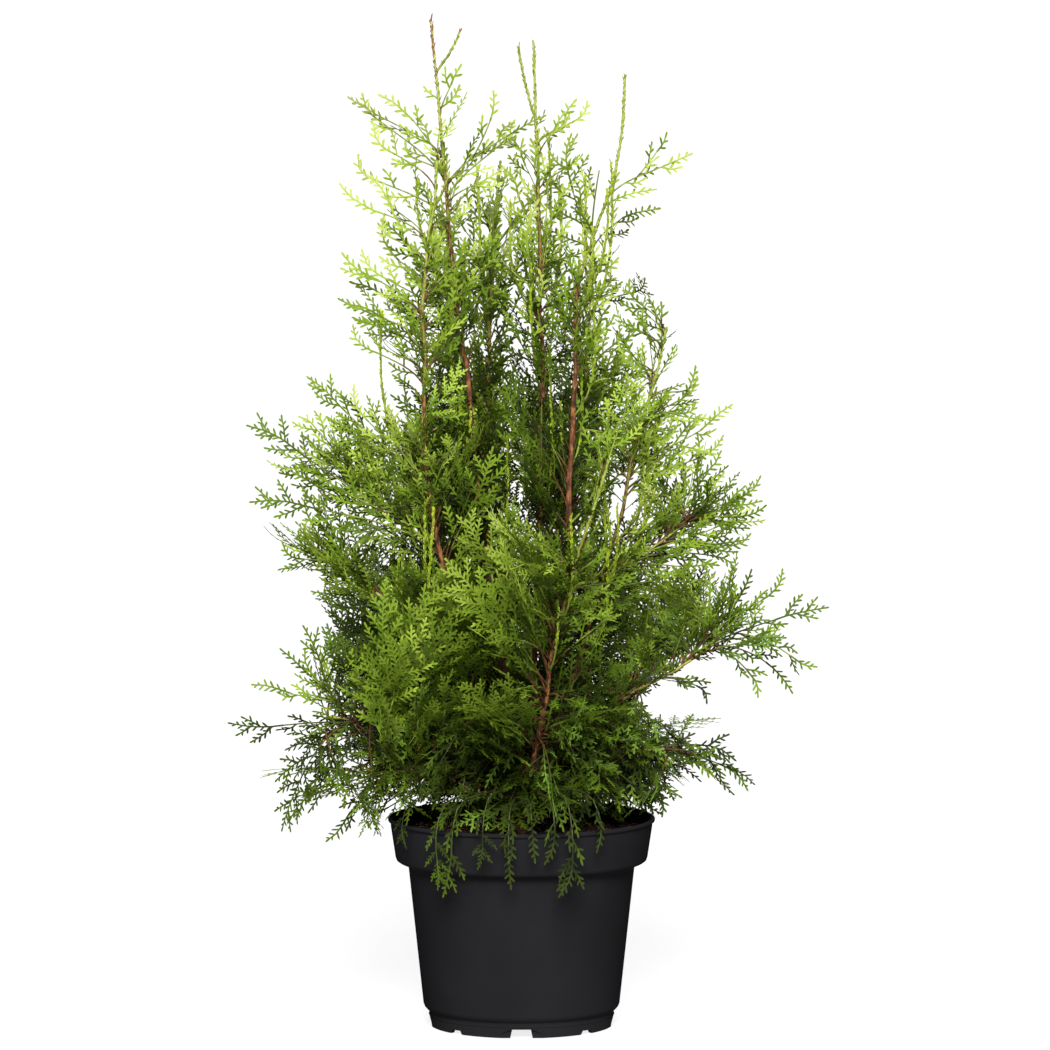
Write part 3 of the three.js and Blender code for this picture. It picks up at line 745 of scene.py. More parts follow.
def foot_of(target, mass, rng):
    """Index of the limb point that a frond to this target grows from: near, lower, and not crowded."""
    gap = target - limb_points
    distance = np.linalg.norm(gap, axis=1)
    level = np.linalg.norm(gap[:, :2], axis=1)
    sideways = abs(target[0]) / max(np.linalg.norm(target[:2]), 1e-6)
    most = np.interp(sideways, [0.6, 0.95], [1.7, 0.7])
    steep = np.interp(target[2], [0.2, 0.3, 0.42], [0.05, 0.5 * most, most])
    too_high = np.maximum(0, steep * level - gap[:, 2])
    to_mass = np.linalg.norm(limb_points - mass.middle, axis=1)
    cost = distance + 1.2 * too_high + 0.3 * to_mass + np.where(distance < 40 * MM, 0.2, 0)
    best = (cost + limb_crowding + rng.uniform(0, 10 * MM, len(cost))).argmin()
    near = np.linalg.norm(limb_points - limb_points[best], axis=1) < 9 * MM
    limb_crowding[near] += 12 * MM
    return best


def bezier(a, b, c, d, count):
    t = np.linspace(0, 1, count)[:, None]
    return a * (1 - t) ** 3 + 3 * b * t * (1 - t) ** 2 + 3 * c * t**2 * (1 - t) + d * t**3


def tone_at(point, rng):
    """A frond's tone from -1, the darkest, to 4, palest, which is paler with height, for the young growth and
    as painted light on the crown's top, and deeper far inside the crown, as painted shade with the older
    growth there, and whether it is one of the few of a cooler green."""
    heights = [0.16, 0.3, 0.45, 0.6, 0.7, 0.8]
    # paler with height: the young growth at the top, and painted light on the crown's top
    tone = np.interp(point[2], heights, [1.0, 1.7, 2.6, 3.3, 3.7, 4.1])
    # deeper far inside the crown: painted shade, with the older growth there
    inside = np.interp(math.hypot(point[0], point[1]), [38 * MM, 105 * MM], [1, 0])
    tone -= inside * np.interp(point[2], [0.3, 0.6, 0.72], [2.9, 2.4, 0.0])
    tone += rng.normal(0, np.interp(point[2], [0.5, 0.7], [0.9, 0.3]))
    cool = rng.random() < np.interp(point[2], [0.24, 0.27, 0.33, 0.5], [0.0, 0.12, 0.12, 0.0])
    return min(tone, np.interp(point[2], heights, [1.8, 2.6, 3.3, 3.8, 4.3, 4.5])), cool


def tone_pair(tone, cool, rng):
    """Numbers of the looks of a spray's older and younger parts."""
    if cool:
        return np.array([COOL, COOL + 1])
    older = int(np.clip(round(tone + rng.normal(-0.3, 0.35)), -1, 4)) + 1
    return np.array([older, older + 1])


def in_window(points):
    """Whether a spray would hide one of the stems that show from the front."""
    for name, low, high in WINDOWS:
        path = lines[name][0]
        shown = points[(points[:, 2] > low) & (points[:, 2] < high)]
        if len(shown):
            x, y = (np.interp(shown[:, 2], path[:, 2], path[:, k]) for k in (0, 1))
            before = np.mean((abs(shown[:, 0] - x) < WINDOW_HALF) & (shown[:, 1] < y))
            if before * len(shown) > LIMITS["window"] * len(points):
                return True
    return False


def in_clearing(points, share):
    """Whether more than a share of the points lie in the sky between two boughs, as seen from the front."""
    seen = points[:, 2] + VIEW_DROP * points[:, 1]
    for x, z, wide, high in CLEARINGS:
        inside = ((points[:, 0] - x * MM) / (wide * MM)) ** 2 + ((seen - z * MM) / (high * MM)) ** 2 < 1
        if inside.mean() > share:
            return True
    return False


def over_rim(points):
    """Whether a spray hangs over the front or back of the pot's rim, which only the drapes do."""
    x, y, height = points.T
    out = (np.hypot(x, y) > OVER_RIM["beyond"]) & (abs(x) < OVER_RIM["half_width"])
    return np.mean(out & (height < OVER_RIM["below"])) > LIMITS["rim"]


def habit_at(point, rng):
    """The habit of the sprays here: dense low in the crown, open further out and up, young at its top."""
    far = np.interp(math.hypot(point[0], point[1]), [95 * MM, 150 * MM], [0, 0.6])
    share = np.interp(point[2], [0.22, 0.4, 0.55, 0.65], [0.35, 0.55, 0.8, 1.0]) + far
    if rng.random() > share:
        return "dense"
    return "young" if rng.random() < np.interp(point[2], [0.55, 0.68], [0.0, 1.0]) else "open"


def pick_spray(habit, size, side, rng):
    """One of the sprays of that size, curving to the side: 1 is left, -1 right and 0 either."""
    variants = library[habit, size][side or int(rng.choice([-1, 1]))]
    return variants[rng.integers(len(variants))]


def facing(way, along, rng):
    """The upper side of a spray straight from a limb or shoot, which looks roughly along it."""
    return unit(turn(np.cross(way, along), way, rng.uniform(0.6, 2.5)))


def add_spray(leaves, start, way, normal, size, looks, droop, rng):
    """One spray straight from a limb or shoot, unless it would hide a stem or the sky that shows."""
    points, faces, kinds = pick_spray(habit_at(start, rng), size, 0, rng)
    placed = place_spray(points, start, way, normal, rng, droop)
    if placed is not None and not in_window(placed) and not in_clearing(placed, LIMITS["sky"]):
        leaves.add(placed, faces, tone_pair(*looks, rng)[kinds])


def laid_along(points, s, path, reach, normal):
    """A spray's points where it carries on along a path, from s metres along it."""
    at = s + points[:, 0]
    centre, along = (read_at(at, reach, rows) for rows in (path, np.gradient(path, axis=0)))
    along /= np.linalg.norm(along, axis=1)[:, None]
    centre += np.maximum(at - reach[-1], 0)[:, None] * along
    here = normal - along * (along @ normal)[:, None]
    here /= np.linalg.norm(here, axis=1)[:, None]
    return centre + points[:, 1:2] * np.cross(here, along) + points[:, 2:] * here


def fitting_size(start, way, longest):
    """The longest spray that stays within the crown and its overhang, or None where none does."""
    for size in reversed(SPRAY_LENGTHS):
        if size <= longest * 1.12 or size == SPRAY_LENGTHS[0]:
            gap = outside(start + way * size)[0]
            if gap < OVERHANG or (size == SPRAY_LENGTHS[0] and gap < 2 * OVERHANG):
                return size
    return None


def frond_normal(way, out, rng):
    """The upper side of a frond: those that grow sideways stand upright, front and back ones lie
    flatter, and a quarter of them are turned anyhow."""
    flat = unit(UP - way * way[2]) if abs(way[2]) < 0.98 else unit(-out)
    across = unit(np.cross(way, flat))
    tilt = np.interp(abs(unit(way * [1, 1, 0])[0]), [0.3, 0.9], [18, 72]) + rng.normal(0, 22)
    if rng.random() < 0.25:
        tilt = rng.uniform(-90, 90)
    tilt = math.radians(tilt) * (1 if rng.random() < 0.5 else -1)
    return unit(math.cos(tilt) * flat + math.sin(tilt) * across)


def frond_path(start, limb_way, target, rng, rise=None):
    """A twig's way from a limb to its target: off along the limb, then out, and up at its end by rise,
    which comes from the height where it isn't given."""
    span = target - start
    length = np.linalg.norm(span)
    if rise is None:
        rise = np.interp(target[2], [0.18, 0.26, 0.38, 0.6], [-0.35, 0.1, 0.6, 0.9])
    leave = unit(unit(span) + 0.55 * limb_way + UP * 0.2)
    arrive = unit(unit(span) + UP * rise + rng.normal(0, 0.12, 3))
    return bezier(start, start + leave * length * 0.36, target - arrive * length * 0.33, target, 40)


def dress_frond(leaves, path, normal, looks, breadth, droop, lift, manner, rng):
    """A frond along a path: its twig, sprays left and right of it in one plane, and one at its end.
    Those near its foot are older and so deeper in tone. A spray that would cover a stem or the sky that
    shows is left out, and so is a frond with many such sprays unless it ends a bough."""
    shares, held = MANNERS[manner], manner == "held"
    if manner in ("held", "skirt") and in_clearing(path, LIMITS["sky_path"]):
        return
    reach = lengths_along(path)
    whole = reach[-1]
    habit = habit_at(path[-1], rng)
    end_spray = max(s for s in SPRAY_LENGTHS if s <= max(shares["end"] * whole, SPRAY_LENGTHS[0]))
    twig_end = max(whole - end_spray, 0.25 * whole)
    bare = np.interp(whole, [0.05, 0.2], [0.6, 1.0]) * shares["bare"] * whole
    tone, cool = looks
    angle = np.interp(breadth, [0.1, 0.38, 0.52], [0.7, 0.85, 1.0])
    sprays, misfits = [], 0

    def at(s):
        point, ahead, behind = (read_at(v, reach, path) for v in (s, s + 2 * MM, s - 2 * MM))
        return point, unit(ahead - behind)

    def looks_at(s, kinds):
        return tone_pair(tone + 1.1 * (s / whole - 0.65), cool, rng)[kinds]

    s, side = bare, 1
    while s < twig_end:
        share = (s - bare) / max(whole - bare, 1e-6)
        longest = whole * breadth * (0.6 + 0.4 * math.sin(math.pi * min(1, share * 1.6))) * (1 - 0.4 * share)
        longest = max(longest, shares["least"])
        point, along = at(s)
        here = unit(normal - along * np.dot(normal, along))
        way = unit(turn(along, here, side * math.radians(rng.uniform(36, 54) * angle)) + UP * lift)
        here = unit(here - way * np.dot(here, way))
        size = fitting_size(point, way, longest) if held else max(n for n in SPRAY_LENGTHS if n <= longest)
        if size:
            points, faces, kinds = pick_spray(habit, size, -side, rng)
            tilted = turn(here, way, rng.normal(0, 0.3))
            placed = place_spray(points, point, way, tilted, rng, droop + rng.uniform(0, 0.06))
            sprays.append((placed, faces, looks_at(s, kinds)))
        else:
            misfits += 1
        s += HABITS[habit]["room"] * rng.uniform(0.8, 1.25)
        side = -side
    points, faces, kinds = pick_spray(habit, end_spray, 0, rng)
    placed = laid_along(points, twig_end, path, reach, normal)
    sprays.append((clear_of_pot(placed), faces, looks_at(twig_end, kinds)))

    sprays = [spray for spray in sprays if spray[0] is not None]
    hidden = [
        in_window(placed) or in_clearing(placed, LIMITS["sky"]) or (manner != "drape" and over_rim(placed))
        for placed, _, _ in sprays
    ]
    sparse = manner != "reach" and np.mean(hidden) > LIMITS["hidden"]
    if sparse or misfits > LIMITS["misfits"] * len(sprays) or all(hidden):
        return
    for spray, hides in zip(sprays, hidden):
        if not hides:
            leaves.add(*spray)
    stations = np.linspace(0, twig_end + 3 * MM, TWIG["steps"])
    foot_radius = TWIG["foot"] * np.interp(whole, [0.05, 0.2], [0.7, 1.15])
    radii = np.interp(stations, [0, twig_end], [foot_radius, TWIG["tip"]])
    points, faces = tube(read_at(stations, reach, path), radii, TWIG["sides"])
    share = np.repeat(np.linspace(0, 1, TWIG["steps"] - 1), 2 * TWIG["sides"])
    # fronds in deep tones, largely painted shade inside and low in the crown, get the dark green twig
    green = 2 if tone < 1.7 else 1
    brown = shares["brown"] * (0.6 if tone > 3 else 1.0)
    kinds = np.where(share + rng.normal(0, 0.06, len(share)) < brown, 0, green)
    twigs.add(points, faces, np.concatenate([kinds, np.repeat([0, green], TWIG["sides"])]))


def grow_frond(mass, start, limb_way, target, rng):
    """One frond from a limb towards its target in a mass."""
    span = target - start
    if np.linalg.norm(span) < 25 * MM:
        return
    path = frond_path(start, limb_way, target, rng)
    if np.hypot(*target[:2]) > RIM["inner"] and target[2] < RIM["top"] + 20 * MM:
        over = unit(target * [1, 1, 0]) * 105 * MM + UP * (RIM["top"] + 24 * MM)
        path = bezier(start, over, over + (target - over) * [0.5, 0.5, 0.0], target, 40)
    out = unit(target * [1, 1, 0])
    normal = frond_normal(unit(span), out, rng)
    droop = np.interp(target[2], [0.17, 0.22, 0.3], [0.08, 0.2, 0.0])
    lift = np.interp(target[2], [0.2, 0.35], [0.0, 0.3])
    breadth = np.interp(abs(out[0]), [0.35, 0.8], [0.38, 0.52])
    dress_frond(mass.leaves, path, normal, tone_at(target, rng), breadth, droop, lift, "held", rng)


def grow_drape(angle, tip_height, tone, rng):
    """A frond that leans out of the pot's mouth and hangs over the rim, close outside the wall."""
    out = outward(math.radians(angle))
    start = out * 22 * MM + UP * rng.uniform(198, 212) * MM
    crest = out * 92 * MM + UP * (RIM["top"] + rng.uniform(20, 30) * MM)
    tip = out * rng.uniform(126, 132) * MM + UP * (tip_height * MM + 12 * MM)
    shoulder = out * 130 * MM + UP * (RIM["top"] + 18 * MM)
    path = np.concatenate([
        bezier(start, start + (crest - start) * 0.4, crest - out * 24 * MM, crest, 20)[:-1],
        bezier(crest, crest + out * 24 * MM, shoulder, tip, 20),
    ])
    leaves = leaves_by(tip)
    # the drape's low tone is painted shade, as it hangs under the crown
    dress_frond(leaves, path, unit(out + UP), (tone, False), 0.15, 0.12, 0.0, "drape", rng)


def grow_reach(foot_x, foot_z, tip, breadth, axes, rng):
    """A long frond that faces the front or back, from the nearest point of the limbs and of the long
    fronds grown so far, as seen from the front, out to its tip."""
    points, ways = (np.concatenate(rows) for rows in zip(*axes))
    foot = np.hypot(points[:, 0] - foot_x, points[:, 2] - foot_z).argmin()
    way = unit(tip - points[foot])
    path = frond_path(points[foot], ways[foot], tip, rng, 0.9 * way[2] - 0.1)
    axes.append((path, ways_along(path)))
    towards = np.array([rng.normal(0, 0.25), rng.choice([-1, 1]), rng.normal(0.2, 0.25)])
    normal = unit(towards - way * np.dot(towards, way))
    leaves = leaves_by(tip)
    dress_frond(leaves, path, normal, tone_at(tip, rng), breadth, 0.0, 0.1, "reach", rng)


def dress_limb(name, rng):
    """Sprays straight from a limb's upper part, turning round it, shorter towards its tip."""
    path = lines[name][0]
    reach, ways = lengths_along(path), np.gradient(path, axis=0)
    s = 0.2 * reach[-1]
    angle = rng.uniform(0, 2 * math.pi)
    while s < reach[-1] - 6 * MM:
        point = read_at(s, reach, path)
        along, out = across_at(s, reach, ways, angle)
        way = unit(out + along * rng.uniform(0.8, 1.6))
        size = fitting_size(point, way, np.interp(reach[-1] - s, [0, 0.12, 0.3], [0.02, 0.045, 0.07]))
        if size:
            leaves = leaves_by(point + way * size * 0.6)
            normal = facing(way, along, rng)
            tone, cool = tone_at(point, rng)
            add_spray(leaves, point, way, normal, size, (tone - 0.5, cool), 0.03, rng)
        s += rng.uniform(9, 15) * MM * np.interp(point[2], [0.6, 0.7], [1, 2.6])
        angle += rng.uniform(2.0, 2.8)


def grow_shoot(start, limb_way, rng):
    """A slender upright young shoot: a green twig with short sprays closely up it on all sides."""
    long = rng.uniform(*SHOOTS["long"])
    out = unit(start * [1, 1, 0] + rng.normal(0, 0.03, 3) * [1, 1, 0])
    lean = out * long * rng.uniform(0.12, 0.34)
    top = start + UP * long * 0.94 + lean
    middle = start + lean * 1.1 + UP * long * 0.5
    path = bezier(start, start + (limb_way + out) * long * 0.22, middle, top, 24)
    if outside(top)[0] > 2.5 * OVERHANG:
        return
    leaves = leaves_by(path[12])
    reach, ways = np.linspace(0, long, len(path)), np.gradient(path, axis=0)
    looks = (tone_at(top, rng)[0] + 0.6, False)
    s, angle = 0.12 * long, rng.uniform(0, 2 * math.pi)
    while s < long:
        along, across = across_at(s, reach, ways, angle)
        left = (long - s) / long
        way = unit(across * rng.uniform(0.4, 0.7) * (0.4 + left) + along)
        size = SPRAY_LENGTHS[0 if left < 0.6 or rng.random() < 0.6 else 1]
        add_spray(leaves, read_at(s, reach, path), way, facing(way, along, rng), size, looks, 0.0, rng)
        s += rng.uniform(8, 15) * MM
        angle += rng.uniform(2.2, 3.6)
    dress_with_fingers(path, 0.25 * long, SHOOTS["finger"], leaves, lambda share: VIVID, rng)
    twigs.add(*tube(path, np.linspace(1.0 * MM, 0.55 * MM, len(path)), TWIG["sides"]), 1)


def grow_crown():
    """The masses' fronds, the skirt, the drapes, the long fronds, the limbs' own sprays, and the shoots."""
    for index, mass in enumerate(masses):
        rng = np.random.default_rng(1000 + index)
        share = FULLNESS.get(mass.name, 1)
        count = int(np.clip(round(mass.volume / FROND_ROOM * share), 2, 110))
        for target in frond_targets(mass, count, rng) if share else []:
            target[2] += LIFTED.get(mass.name, 0)
            foot = foot_of(target, mass, rng)
            grow_frond(mass, limb_points[foot], limb_ways[foot], target, rng)
    grow_skirt(np.random.default_rng(6000))
    rng = np.random.default_rng(5000)
    for drape in DRAPES:
        grow_drape(*drape, rng)
    rng = np.random.default_rng(7000)
    axes = [(limb_points, limb_ways)]
    for foot_x, foot_z, x, y, z, breadth in REACHES:
        grow_reach(foot_x * MM, foot_z * MM, np.array([x, y, z]) * MM, breadth, axes, rng)
    for index, name in enumerate(LIMBS[1:]):
        dress_limb(name, np.random.default_rng(2000 + index))
    rng = np.random.default_rng(3000)
    x, y, height = limb_points.T
    near = (np.hypot(x, y) < SHOOTS["within"]) & (y < SHOOTS["behind"])
    fit = np.flatnonzero((height > SHOOTS["low"]) & (height < SHOOTS["high"]) & near)
    for foot in rng.choice(fit, SHOOTS["count"], replace=False):
        grow_shoot(limb_points[foot], limb_ways[foot], rng)
    for index, name in enumerate(LEADERS):
        finish_leader(name, np.random.default_rng(4000 + index))


def grow_skirt(rng):
    """Short fronds, level or hanging, round the feet of the stems, in deep tones that are painted shade low
    under the crown; the front ones are paler.
    """
    feet = np.flatnonzero(limb_points[:, 2] < SKIRT["below"])
    for _ in range(SKIRT["count"]):
        foot = rng.choice(feet)
        out = outward(rng.uniform(0, 2 * math.pi), rng.uniform(-1.1, 0.25)) * rng.uniform(*SKIRT["long"])
        target = limb_points[foot] + out
        if target[2] > SKIRT["above"] and outside(target)[0] < SKIRT["room"]:
            path = frond_path(limb_points[foot], limb_ways[foot], target, rng)
            normal = frond_normal(unit(out), unit(out), rng)
            leaves = leaves_by(target)
            # tones from the darkest up, painted shade under the crown, raised towards the front
            tone = rng.uniform(-1.0, 0.4) + np.interp(target[1], [-90 * MM, SKIRT["front"]], [1, 0])
            looks = (tone, target[1] < SKIRT["front"] and rng.random() < 0.35)
            dress_frond(leaves, path, normal, looks, 0.45, 0.1, 0.0, "skirt", rng)


def dress_with_fingers(path, start, longest, leaves, tones, rng):
    """Scale fingers pressed closely up a young shoot, all round it, from start to its end."""
    reach, ways = lengths_along(path), np.gradient(path, axis=0)
    s, angle = start, rng.uniform(0, 6)
    while s < reach[-1] + 1 * MM:
        along, across = across_at(s, reach, ways, angle)
        way = unit(along + across * rng.uniform(0.22, 0.45))
        flat, faces = finger(np.zeros(3), np.array([1.0, 0, 0]), rng.uniform(0.55, 1) * longest, 2.2 * MM)
        side = unit(np.cross(across, way))
        normal = np.cross(way, side)
        placed = read_at(s, reach, path) + flat[:, :1] * way + flat[:, 1:2] * side + flat[:, 2:] * normal
        leaves.add(placed, faces, tones(s / reach[-1]))
        s += rng.uniform(1.3, 2.2) * MM
        angle += rng.uniform(1.7, 2.9)


def finish_leader(name, rng):
    """The young end of a leader: fingers up its last stretch, and a fork that leaves just below its tip."""
    path = lines[name][0]
    reach = lengths_along(path)
    leaves = leaves_by(path[-1])
    bronzed = name == "leader_left"

    def tones(share):
        if bronzed and share > 0.92 + rng.normal(0, 0.01):
            return BRONZE
        return int(rng.integers(4, 7))

    dress_with_fingers(path, reach[-1] - LEADER_END, 8 * MM, leaves, tones, rng)
    if name in FORKS:
        below, side, drop = FORKS[name]
        foot = read_at(reach[-1] - below, reach, path)
        tip = path[-1] + np.array([side, rng.uniform(-6, 6) * MM, -drop])
        middle = (foot + tip) / 2 + np.array([side * 0.25, 0, 0])
        fork = bezier(foot, (foot + middle) / 2 + UP * 2 * MM, middle + UP * 4 * MM, tip, 16)
        dress_with_fingers(fork, 4 * MM, 7 * MM, leaves, tones, rng)
        twigs.add(*tube(fork, np.linspace(1.0 * MM, 0.6 * MM, 16), TWIG["sides"]), 1)


def build_leaves(leaf_looks):
    for mass in masses:
        obj = mass.leaves.build("leaves_" + mass.name, leaf_looks)
        young = mass.name.startswith(("top_", "upper_"))
        declare(obj, "young_foliage" if young else "foliage", mass.name)


# ---------------------------------------------------------------- pot and compost


def nothing_selected():
    if bpy.context.object and bpy.context.object.mode != "OBJECT":
        bpy.ops.object.mode_set(mode="OBJECT")
    bpy.ops.object.select_all(action="DESELECT")


def turned_solid(name, profile, segments):
    """A closed solid turned about Z: a circle that is extruded and resized along [radius, z] pairs."""
    nothing_selected()
    (radius, height), *rest = profile
    bpy.ops.mesh.primitive_circle_add(vertices=segments, radius=radius, fill_type="NGON", location=(0, 0, 0))
    obj = bpy.context.object
    obj.name = name
    bpy.ops.object.mode_set(mode="EDIT")
    bpy.ops.mesh.select_all(action="SELECT")
    bpy.ops.transform.translate(value=(0, 0, height))
    for new_radius, new_height in rest:
        bpy.ops.mesh.extrude_region_move(TRANSFORM_OT_translate={"value": (0, 0, new_height - height)})
        ratio = new_radius / radius
        bpy.ops.transform.resize(value=(ratio, ratio, 1), center_override=(0, 0, new_height))
        radius, height = new_radius, new_height
    bpy.ops.mesh.select_all(action="SELECT")
    bpy.ops.mesh.normals_make_consistent(inside=False)
    bpy.ops.object.mode_set(mode="OBJECT")
    return obj


def apply_modifiers(obj):
    nothing_selected()
    obj.select_set(True)
    bpy.context.view_layer.objects.active = obj
    for modifier in list(obj.modifiers):
        bpy.ops.object.modifier_apply(modifier=modifier.name)


def arc(centre, radius, start, stop, count):
    """[radius, z] points of an arc in the turned profile, by angle in degrees from outward."""
    angles = np.radians(np.linspace(start, stop, count))
    return [(centre[0] + radius * math.cos(a), centre[1] + radius * math.sin(a)) for a in angles]


def pot_profile():
    """Up the outside from the recessed base to the rolled lip, and down the inside to the floor."""
    foot_ring = [(73.5, 7.2), (74.6, 6.6), (74.9, 0.6), (75.4, 0.0), (78.6, 0.0), (79.2, 0.6), (79.5, 8.9)]
    heel = [(80.0, 9.2), (80.0, 9.6), (79.6, 9.9), (79.6, 12.6), (80.1, 13.3)]
    heel += [(81.9, 14.6), (83.6, 16.6), (84.6, 19.0)]
    body = [(97.2, 136.4), (97.9, 138.2), (99.4, 139.6), (103.2, 141.6)]
    band = [(105.9, 142.3), (107.7, 143.6), (108.5, 146.0), (112.4, 171.5), (112.7, 174.6)]
    lip = [(112.9, 176.2)] + arc((113.0, 178.2), 1.95, -62, 180, 10)
    hollow = [(110.6, 172.0), (107.2, 148.0), (105.4, 144.4), (98.0, 141.0)]
    hollow += [(95.9, 137.0), (83.0, 19.5), (78, 9.4)]
    return [(r * MM, z * MM) for r, z in foot_ring + heel + body + band + lip + hollow]


def cut_away(pot, cutter):
    """Takes a cutter's volume out of the pot, and the cutter with it."""
    cut = pot.modifiers.new("cut", "BOOLEAN")
    cut.operation = "DIFFERENCE"
    cut.solver = "EXACT"
    cut.object = cutter
    apply_modifiers(pot)
    bpy.data.objects.remove(cutter)


def cut_notches(pot, count, width, foot_width, height, first):
    """Drain notches through the foot ring: tapering blocks, wider at the foot, cut out of the pot."""
    for i in range(count):
        angle = math.radians(first + i * 360 / count)
        nothing_selected()
        bpy.ops.mesh.primitive_cube_add(size=1, location=(0, 0, 0))
        cutter = bpy.context.object
        bpy.ops.object.mode_set(mode="EDIT")
        bpy.ops.mesh.select_all(action="SELECT")
        bpy.ops.transform.resize(value=(24 * MM, foot_width, height + 2 * MM))
        bpy.ops.transform.translate(value=(78 * MM, 0, (height - 2 * MM) / 2))
        bpy.ops.object.mode_set(mode="OBJECT")
        for vertex in cutter.data.vertices:
            if vertex.co.z > height / 2:
                vertex.co.y *= width / foot_width
        bpy.ops.object.mode_set(mode="EDIT")
        bpy.ops.mesh.select_all(action="SELECT")
        bpy.ops.transform.rotate(value=-angle, orient_axis="Z", center_override=(0, 0, 0))
        bpy.ops.object.mode_set(mode="OBJECT")
        cut_away(pot, cutter)


def cut_arches(pot, count, width, height, depth, first):
    """Shallow arched recesses round the drain notches: elliptical blocks cut into the foot ring's face."""
    for i in range(count):
        angle = math.radians(first + i * 360 / count)
        face = Vector((math.cos(angle), math.sin(angle), 0)) * 84 * MM
        lie = {"location": face, "rotation": (0, math.pi / 2, angle)}
        size = (height, width / 2, 4.5 * MM + depth)
        nothing_selected()
        bpy.ops.mesh.primitive_cylinder_add(vertices=32, radius=1, depth=2, scale=size, **lie)
        cut_away(pot, bpy.context.object)


def build_pot():
    pot = turned_solid("nursery_pot", pot_profile(), SIDES)
    cut_arches(pot, 4, 37 * MM, 8.4 * MM, 2.8 * MM, -90)
    cut_notches(pot, 4, 16 * MM, 20 * MM, 7.2 * MM, -90)
    cut_notches(pot, 4, 10 * MM, 16 * MM, 3.4 * MM, -45)
    nothing_selected()
    pot.select_set(True)
    bpy.context.view_layer.objects.active = pot
    bpy.ops.object.shade_smooth_by_angle(angle=math.radians(38))
    pot.data.materials.append(pot_material())
    declare(pot, "pot", "pot")


def peat_surface(top, rng):
    """The compost's surface: a disc of rings and spokes, heaved by waves of three sizes, and roughened."""
    rings, spokes = 44, 132
    radii = np.linspace(0.4 * MM, 109.2 * MM, rings)
    angles = np.arange(spokes) * 2 * math.pi / spokes
    x = (radii[:, None] * np.cos(angles)).ravel()
    y = (radii[:, None] * np.sin(angles)).ravel()
    z = np.full(len(x), top)
    for size, height in ((38, 1.6), (15, 1.3), (6, 0.9)):
        for _ in range(6):
            way = rng.uniform(0, 2 * math.pi)
            phase = rng.uniform(0, 2 * math.pi)
            wave = 2 * math.pi / (size * MM * rng.uniform(0.7, 1.3))
            z = z + height * MM / 3 * np.sin((x * math.cos(way) + y * math.sin(way)) * wave + phase)
    z = z + rng.normal(0, 0.35 * MM, len(x)) - 0.5 * MM
    r, s = (grid.ravel() for grid in np.meshgrid(np.arange(rings - 1), np.arange(spokes), indexing="ij"))
    a, b = r * spokes + s, r * spokes + (s + 1) % spokes
    inner, outer = np.stack([a, a + spokes, b + spokes], axis=1), np.stack([a, b + spokes, b], axis=1)
    return np.stack([x, y, z], axis=1), np.concatenate([inner, outer])


def on_peat(within, top, least, most, rng):
    """Somewhere on the compost, as far up as between least and most millimetres."""
    radius = within * math.sqrt(rng.random())
    angle = rng.uniform(0, 2 * math.pi)
    return np.array([radius * math.cos(angle), radius * math.sin(angle), top + rng.uniform(least, most) * MM])


def build_compost():
    """The compost: a filled disc whose surface is crumbled, and loose crumbs and fibres on it."""
    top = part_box("compost")[1][2]
    profile = [(70, 10), (82, 20), (94, 135), (104, 146), (108.6, top / MM - 1.5)]
    body = turned_solid("peat_compost", [(r * MM, z * MM) for r, z in profile], 96)
    peat = peat_material()
    body.data.materials.append(peat)
    declare(body, "compost", "compost")
    rng = np.random.default_rng(11)
    pile = Pile()
    pile.add(*peat_surface(top, rng), 0)
    for _ in range(CRUMBS):
        centre = on_peat(108 * MM, top, 0, 1.2, rng)
        size = rng.uniform(0.8, 3.4) * MM * rng.uniform(0.5, 1)
        ends = [centre, centre + rng.normal(0, 1, 3) * size * 0.6]
        pile.add(*tube(ends, [size * 0.6, size * 0.5], 5), int(rng.integers(0, 2)))
    for _ in range(FIBRES):
        centre = on_peat(106 * MM, top, 0.6, 1.8, rng)
        way = unit(np.append(rng.normal(0, 1, 2), rng.normal(0, 0.18)))
        bend = unit(np.append(rng.normal(0, 1, 2), 0))
        long = rng.uniform(4, 16) * MM
        t = np.linspace(-0.5, 0.5, 4)[:, None]
        path = centre + way * t * long + bend * (0.25 - t**2) * long * 0.4
        pile.add(*tube(path, [0.32 * MM] * 4, 3), 2)
    fibre_look = new_material("dry_peat_fibre", "#4a2b1e", roughness=0.9, specular=0.2)[0]
    crumb_look = new_material("dark_peat_crumb", "#190e0a", roughness=0.95, specular=0.15)[0]
    crumbs = pile.build("peat_crumbs", [peat, crumb_look, fibre_look])
    declare(crumbs, "compost")


# ---------------------------------------------------------------- studio


def add_soft_sun(name, elevation, azimuth, strength, softness):
    """A distant soft light; azimuth 0 comes from the front, 180 from behind, in degrees."""
    light = bpy.data.lights.new(name, "SUN")
    light.energy = strength
    light.angle = math.radians(softness)
    obj = bpy.data.objects.new(name, light)
    bpy.context.scene.collection.objects.link(obj)
    high, round_ = math.radians(elevation), math.radians(azimuth)
    towards = Vector((math.cos(high) * math.sin(round_), -math.cos(high) * math.cos(round_), math.sin(high)))
    obj.rotation_euler = towards.to_track_quat("Z", "Y").to_euler()
    obj.location = towards * 3


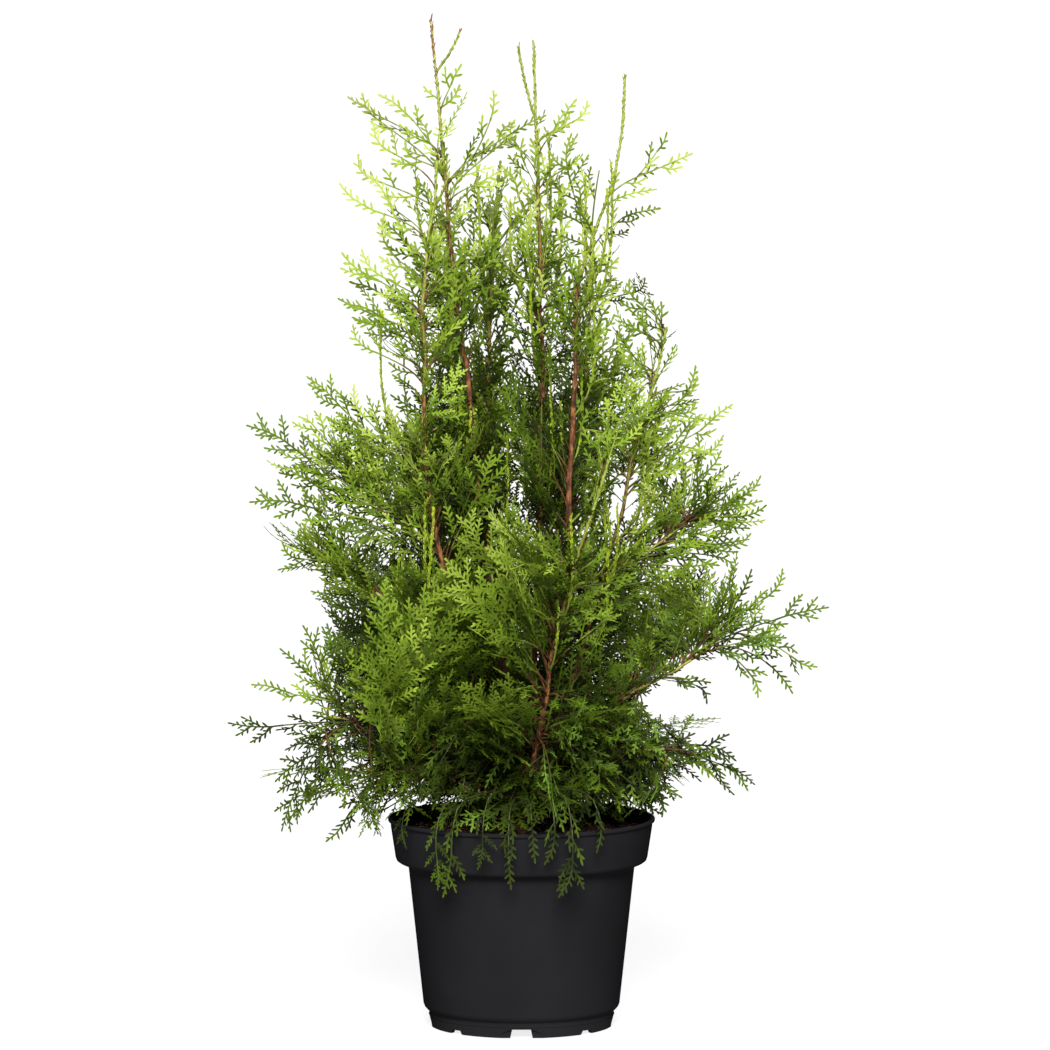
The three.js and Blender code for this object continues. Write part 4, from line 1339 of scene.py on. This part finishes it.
def floor_material():
    """A light table's white acrylic sheet: lit from below, so that it stays white under a soft shadow."""
    material, _, shader = new_material("lit_white_acrylic", "#5c5c5c", roughness=0.9, specular=0.0)
    shader.inputs["Emission Color"].default_value = linear("#ffffff")
    shader.inputs["Emission Strength"].default_value = 0.82
    return material


def build_studio():
    """A wide pale floor, soft surroundings, a broad front light and a weaker one from behind."""
    nothing_selected()
    bpy.ops.mesh.primitive_grid_add(x_subdivisions=8, y_subdivisions=8, size=900)
    floor = bpy.context.object
    floor.name = "studio_floor"
    floor.data.materials.append(floor_material())
    world = bpy.data.worlds.new("studio")
    bpy.context.scene.world = world
    world.use_nodes = True
    background = world.node_tree.nodes["Background"]
    background.inputs["Color"].default_value = linear("#ffffff")
    background.inputs["Strength"].default_value = 0.18
    add_soft_sun("front_softbox", 34, 0, 9.6, 24)
    add_soft_sun("back_softbox", 48, 172, 3.2, 60)
    camera = bpy.data.cameras.new("camera")
    camera.sensor_width = 36
    camera.lens = 241
    camera.clip_end = 2000
    obj = bpy.data.objects.new("camera", camera)
    bpy.context.scene.collection.objects.link(obj)
    obj.location = (0.003, -6.0, 0.99)
    obj.rotation_euler = (Vector((0.003, 0, 0.432)) - obj.location).to_track_quat("-Z", "Y").to_euler()
    bpy.context.scene.camera = obj
    bpy.context.scene.view_settings.view_transform = "Standard"


# ---------------------------------------------------------------- the whole object

build_studio()
build_pot()
build_compost()

bark_looks = [
    bark_material("stringy_thuja_bark", "#1c120a", "#3d2613", "#664a2c"),
    bark_material("smooth_red_brown_bark", "#201107", "#48260f", "#744a28"),
    shoot_material("olive_shoot", "#5a4a24", "#6d6a2a"),
    shoot_material("yellow_green_shoot", "#6d7a2a", "#858a3a"),
]
for index, limb in enumerate(LIMBS):
    build_bark(limb, bark_looks, np.random.default_rng(100 + index))

grow_crown()
build_leaves([leaf_material(tone) for tone in LEAF_TONES])
twig_looks = [
    shoot_material("brown_twig", "#38220f", "#52361a"),
    shoot_material("green_twig", "#52601c", "#6a7528"),
    shoot_material("dark_green_twig", "#252c0c", "#353e12"),
]
declare(twigs.build("twigs", twig_looks, smooth=True), "bark")
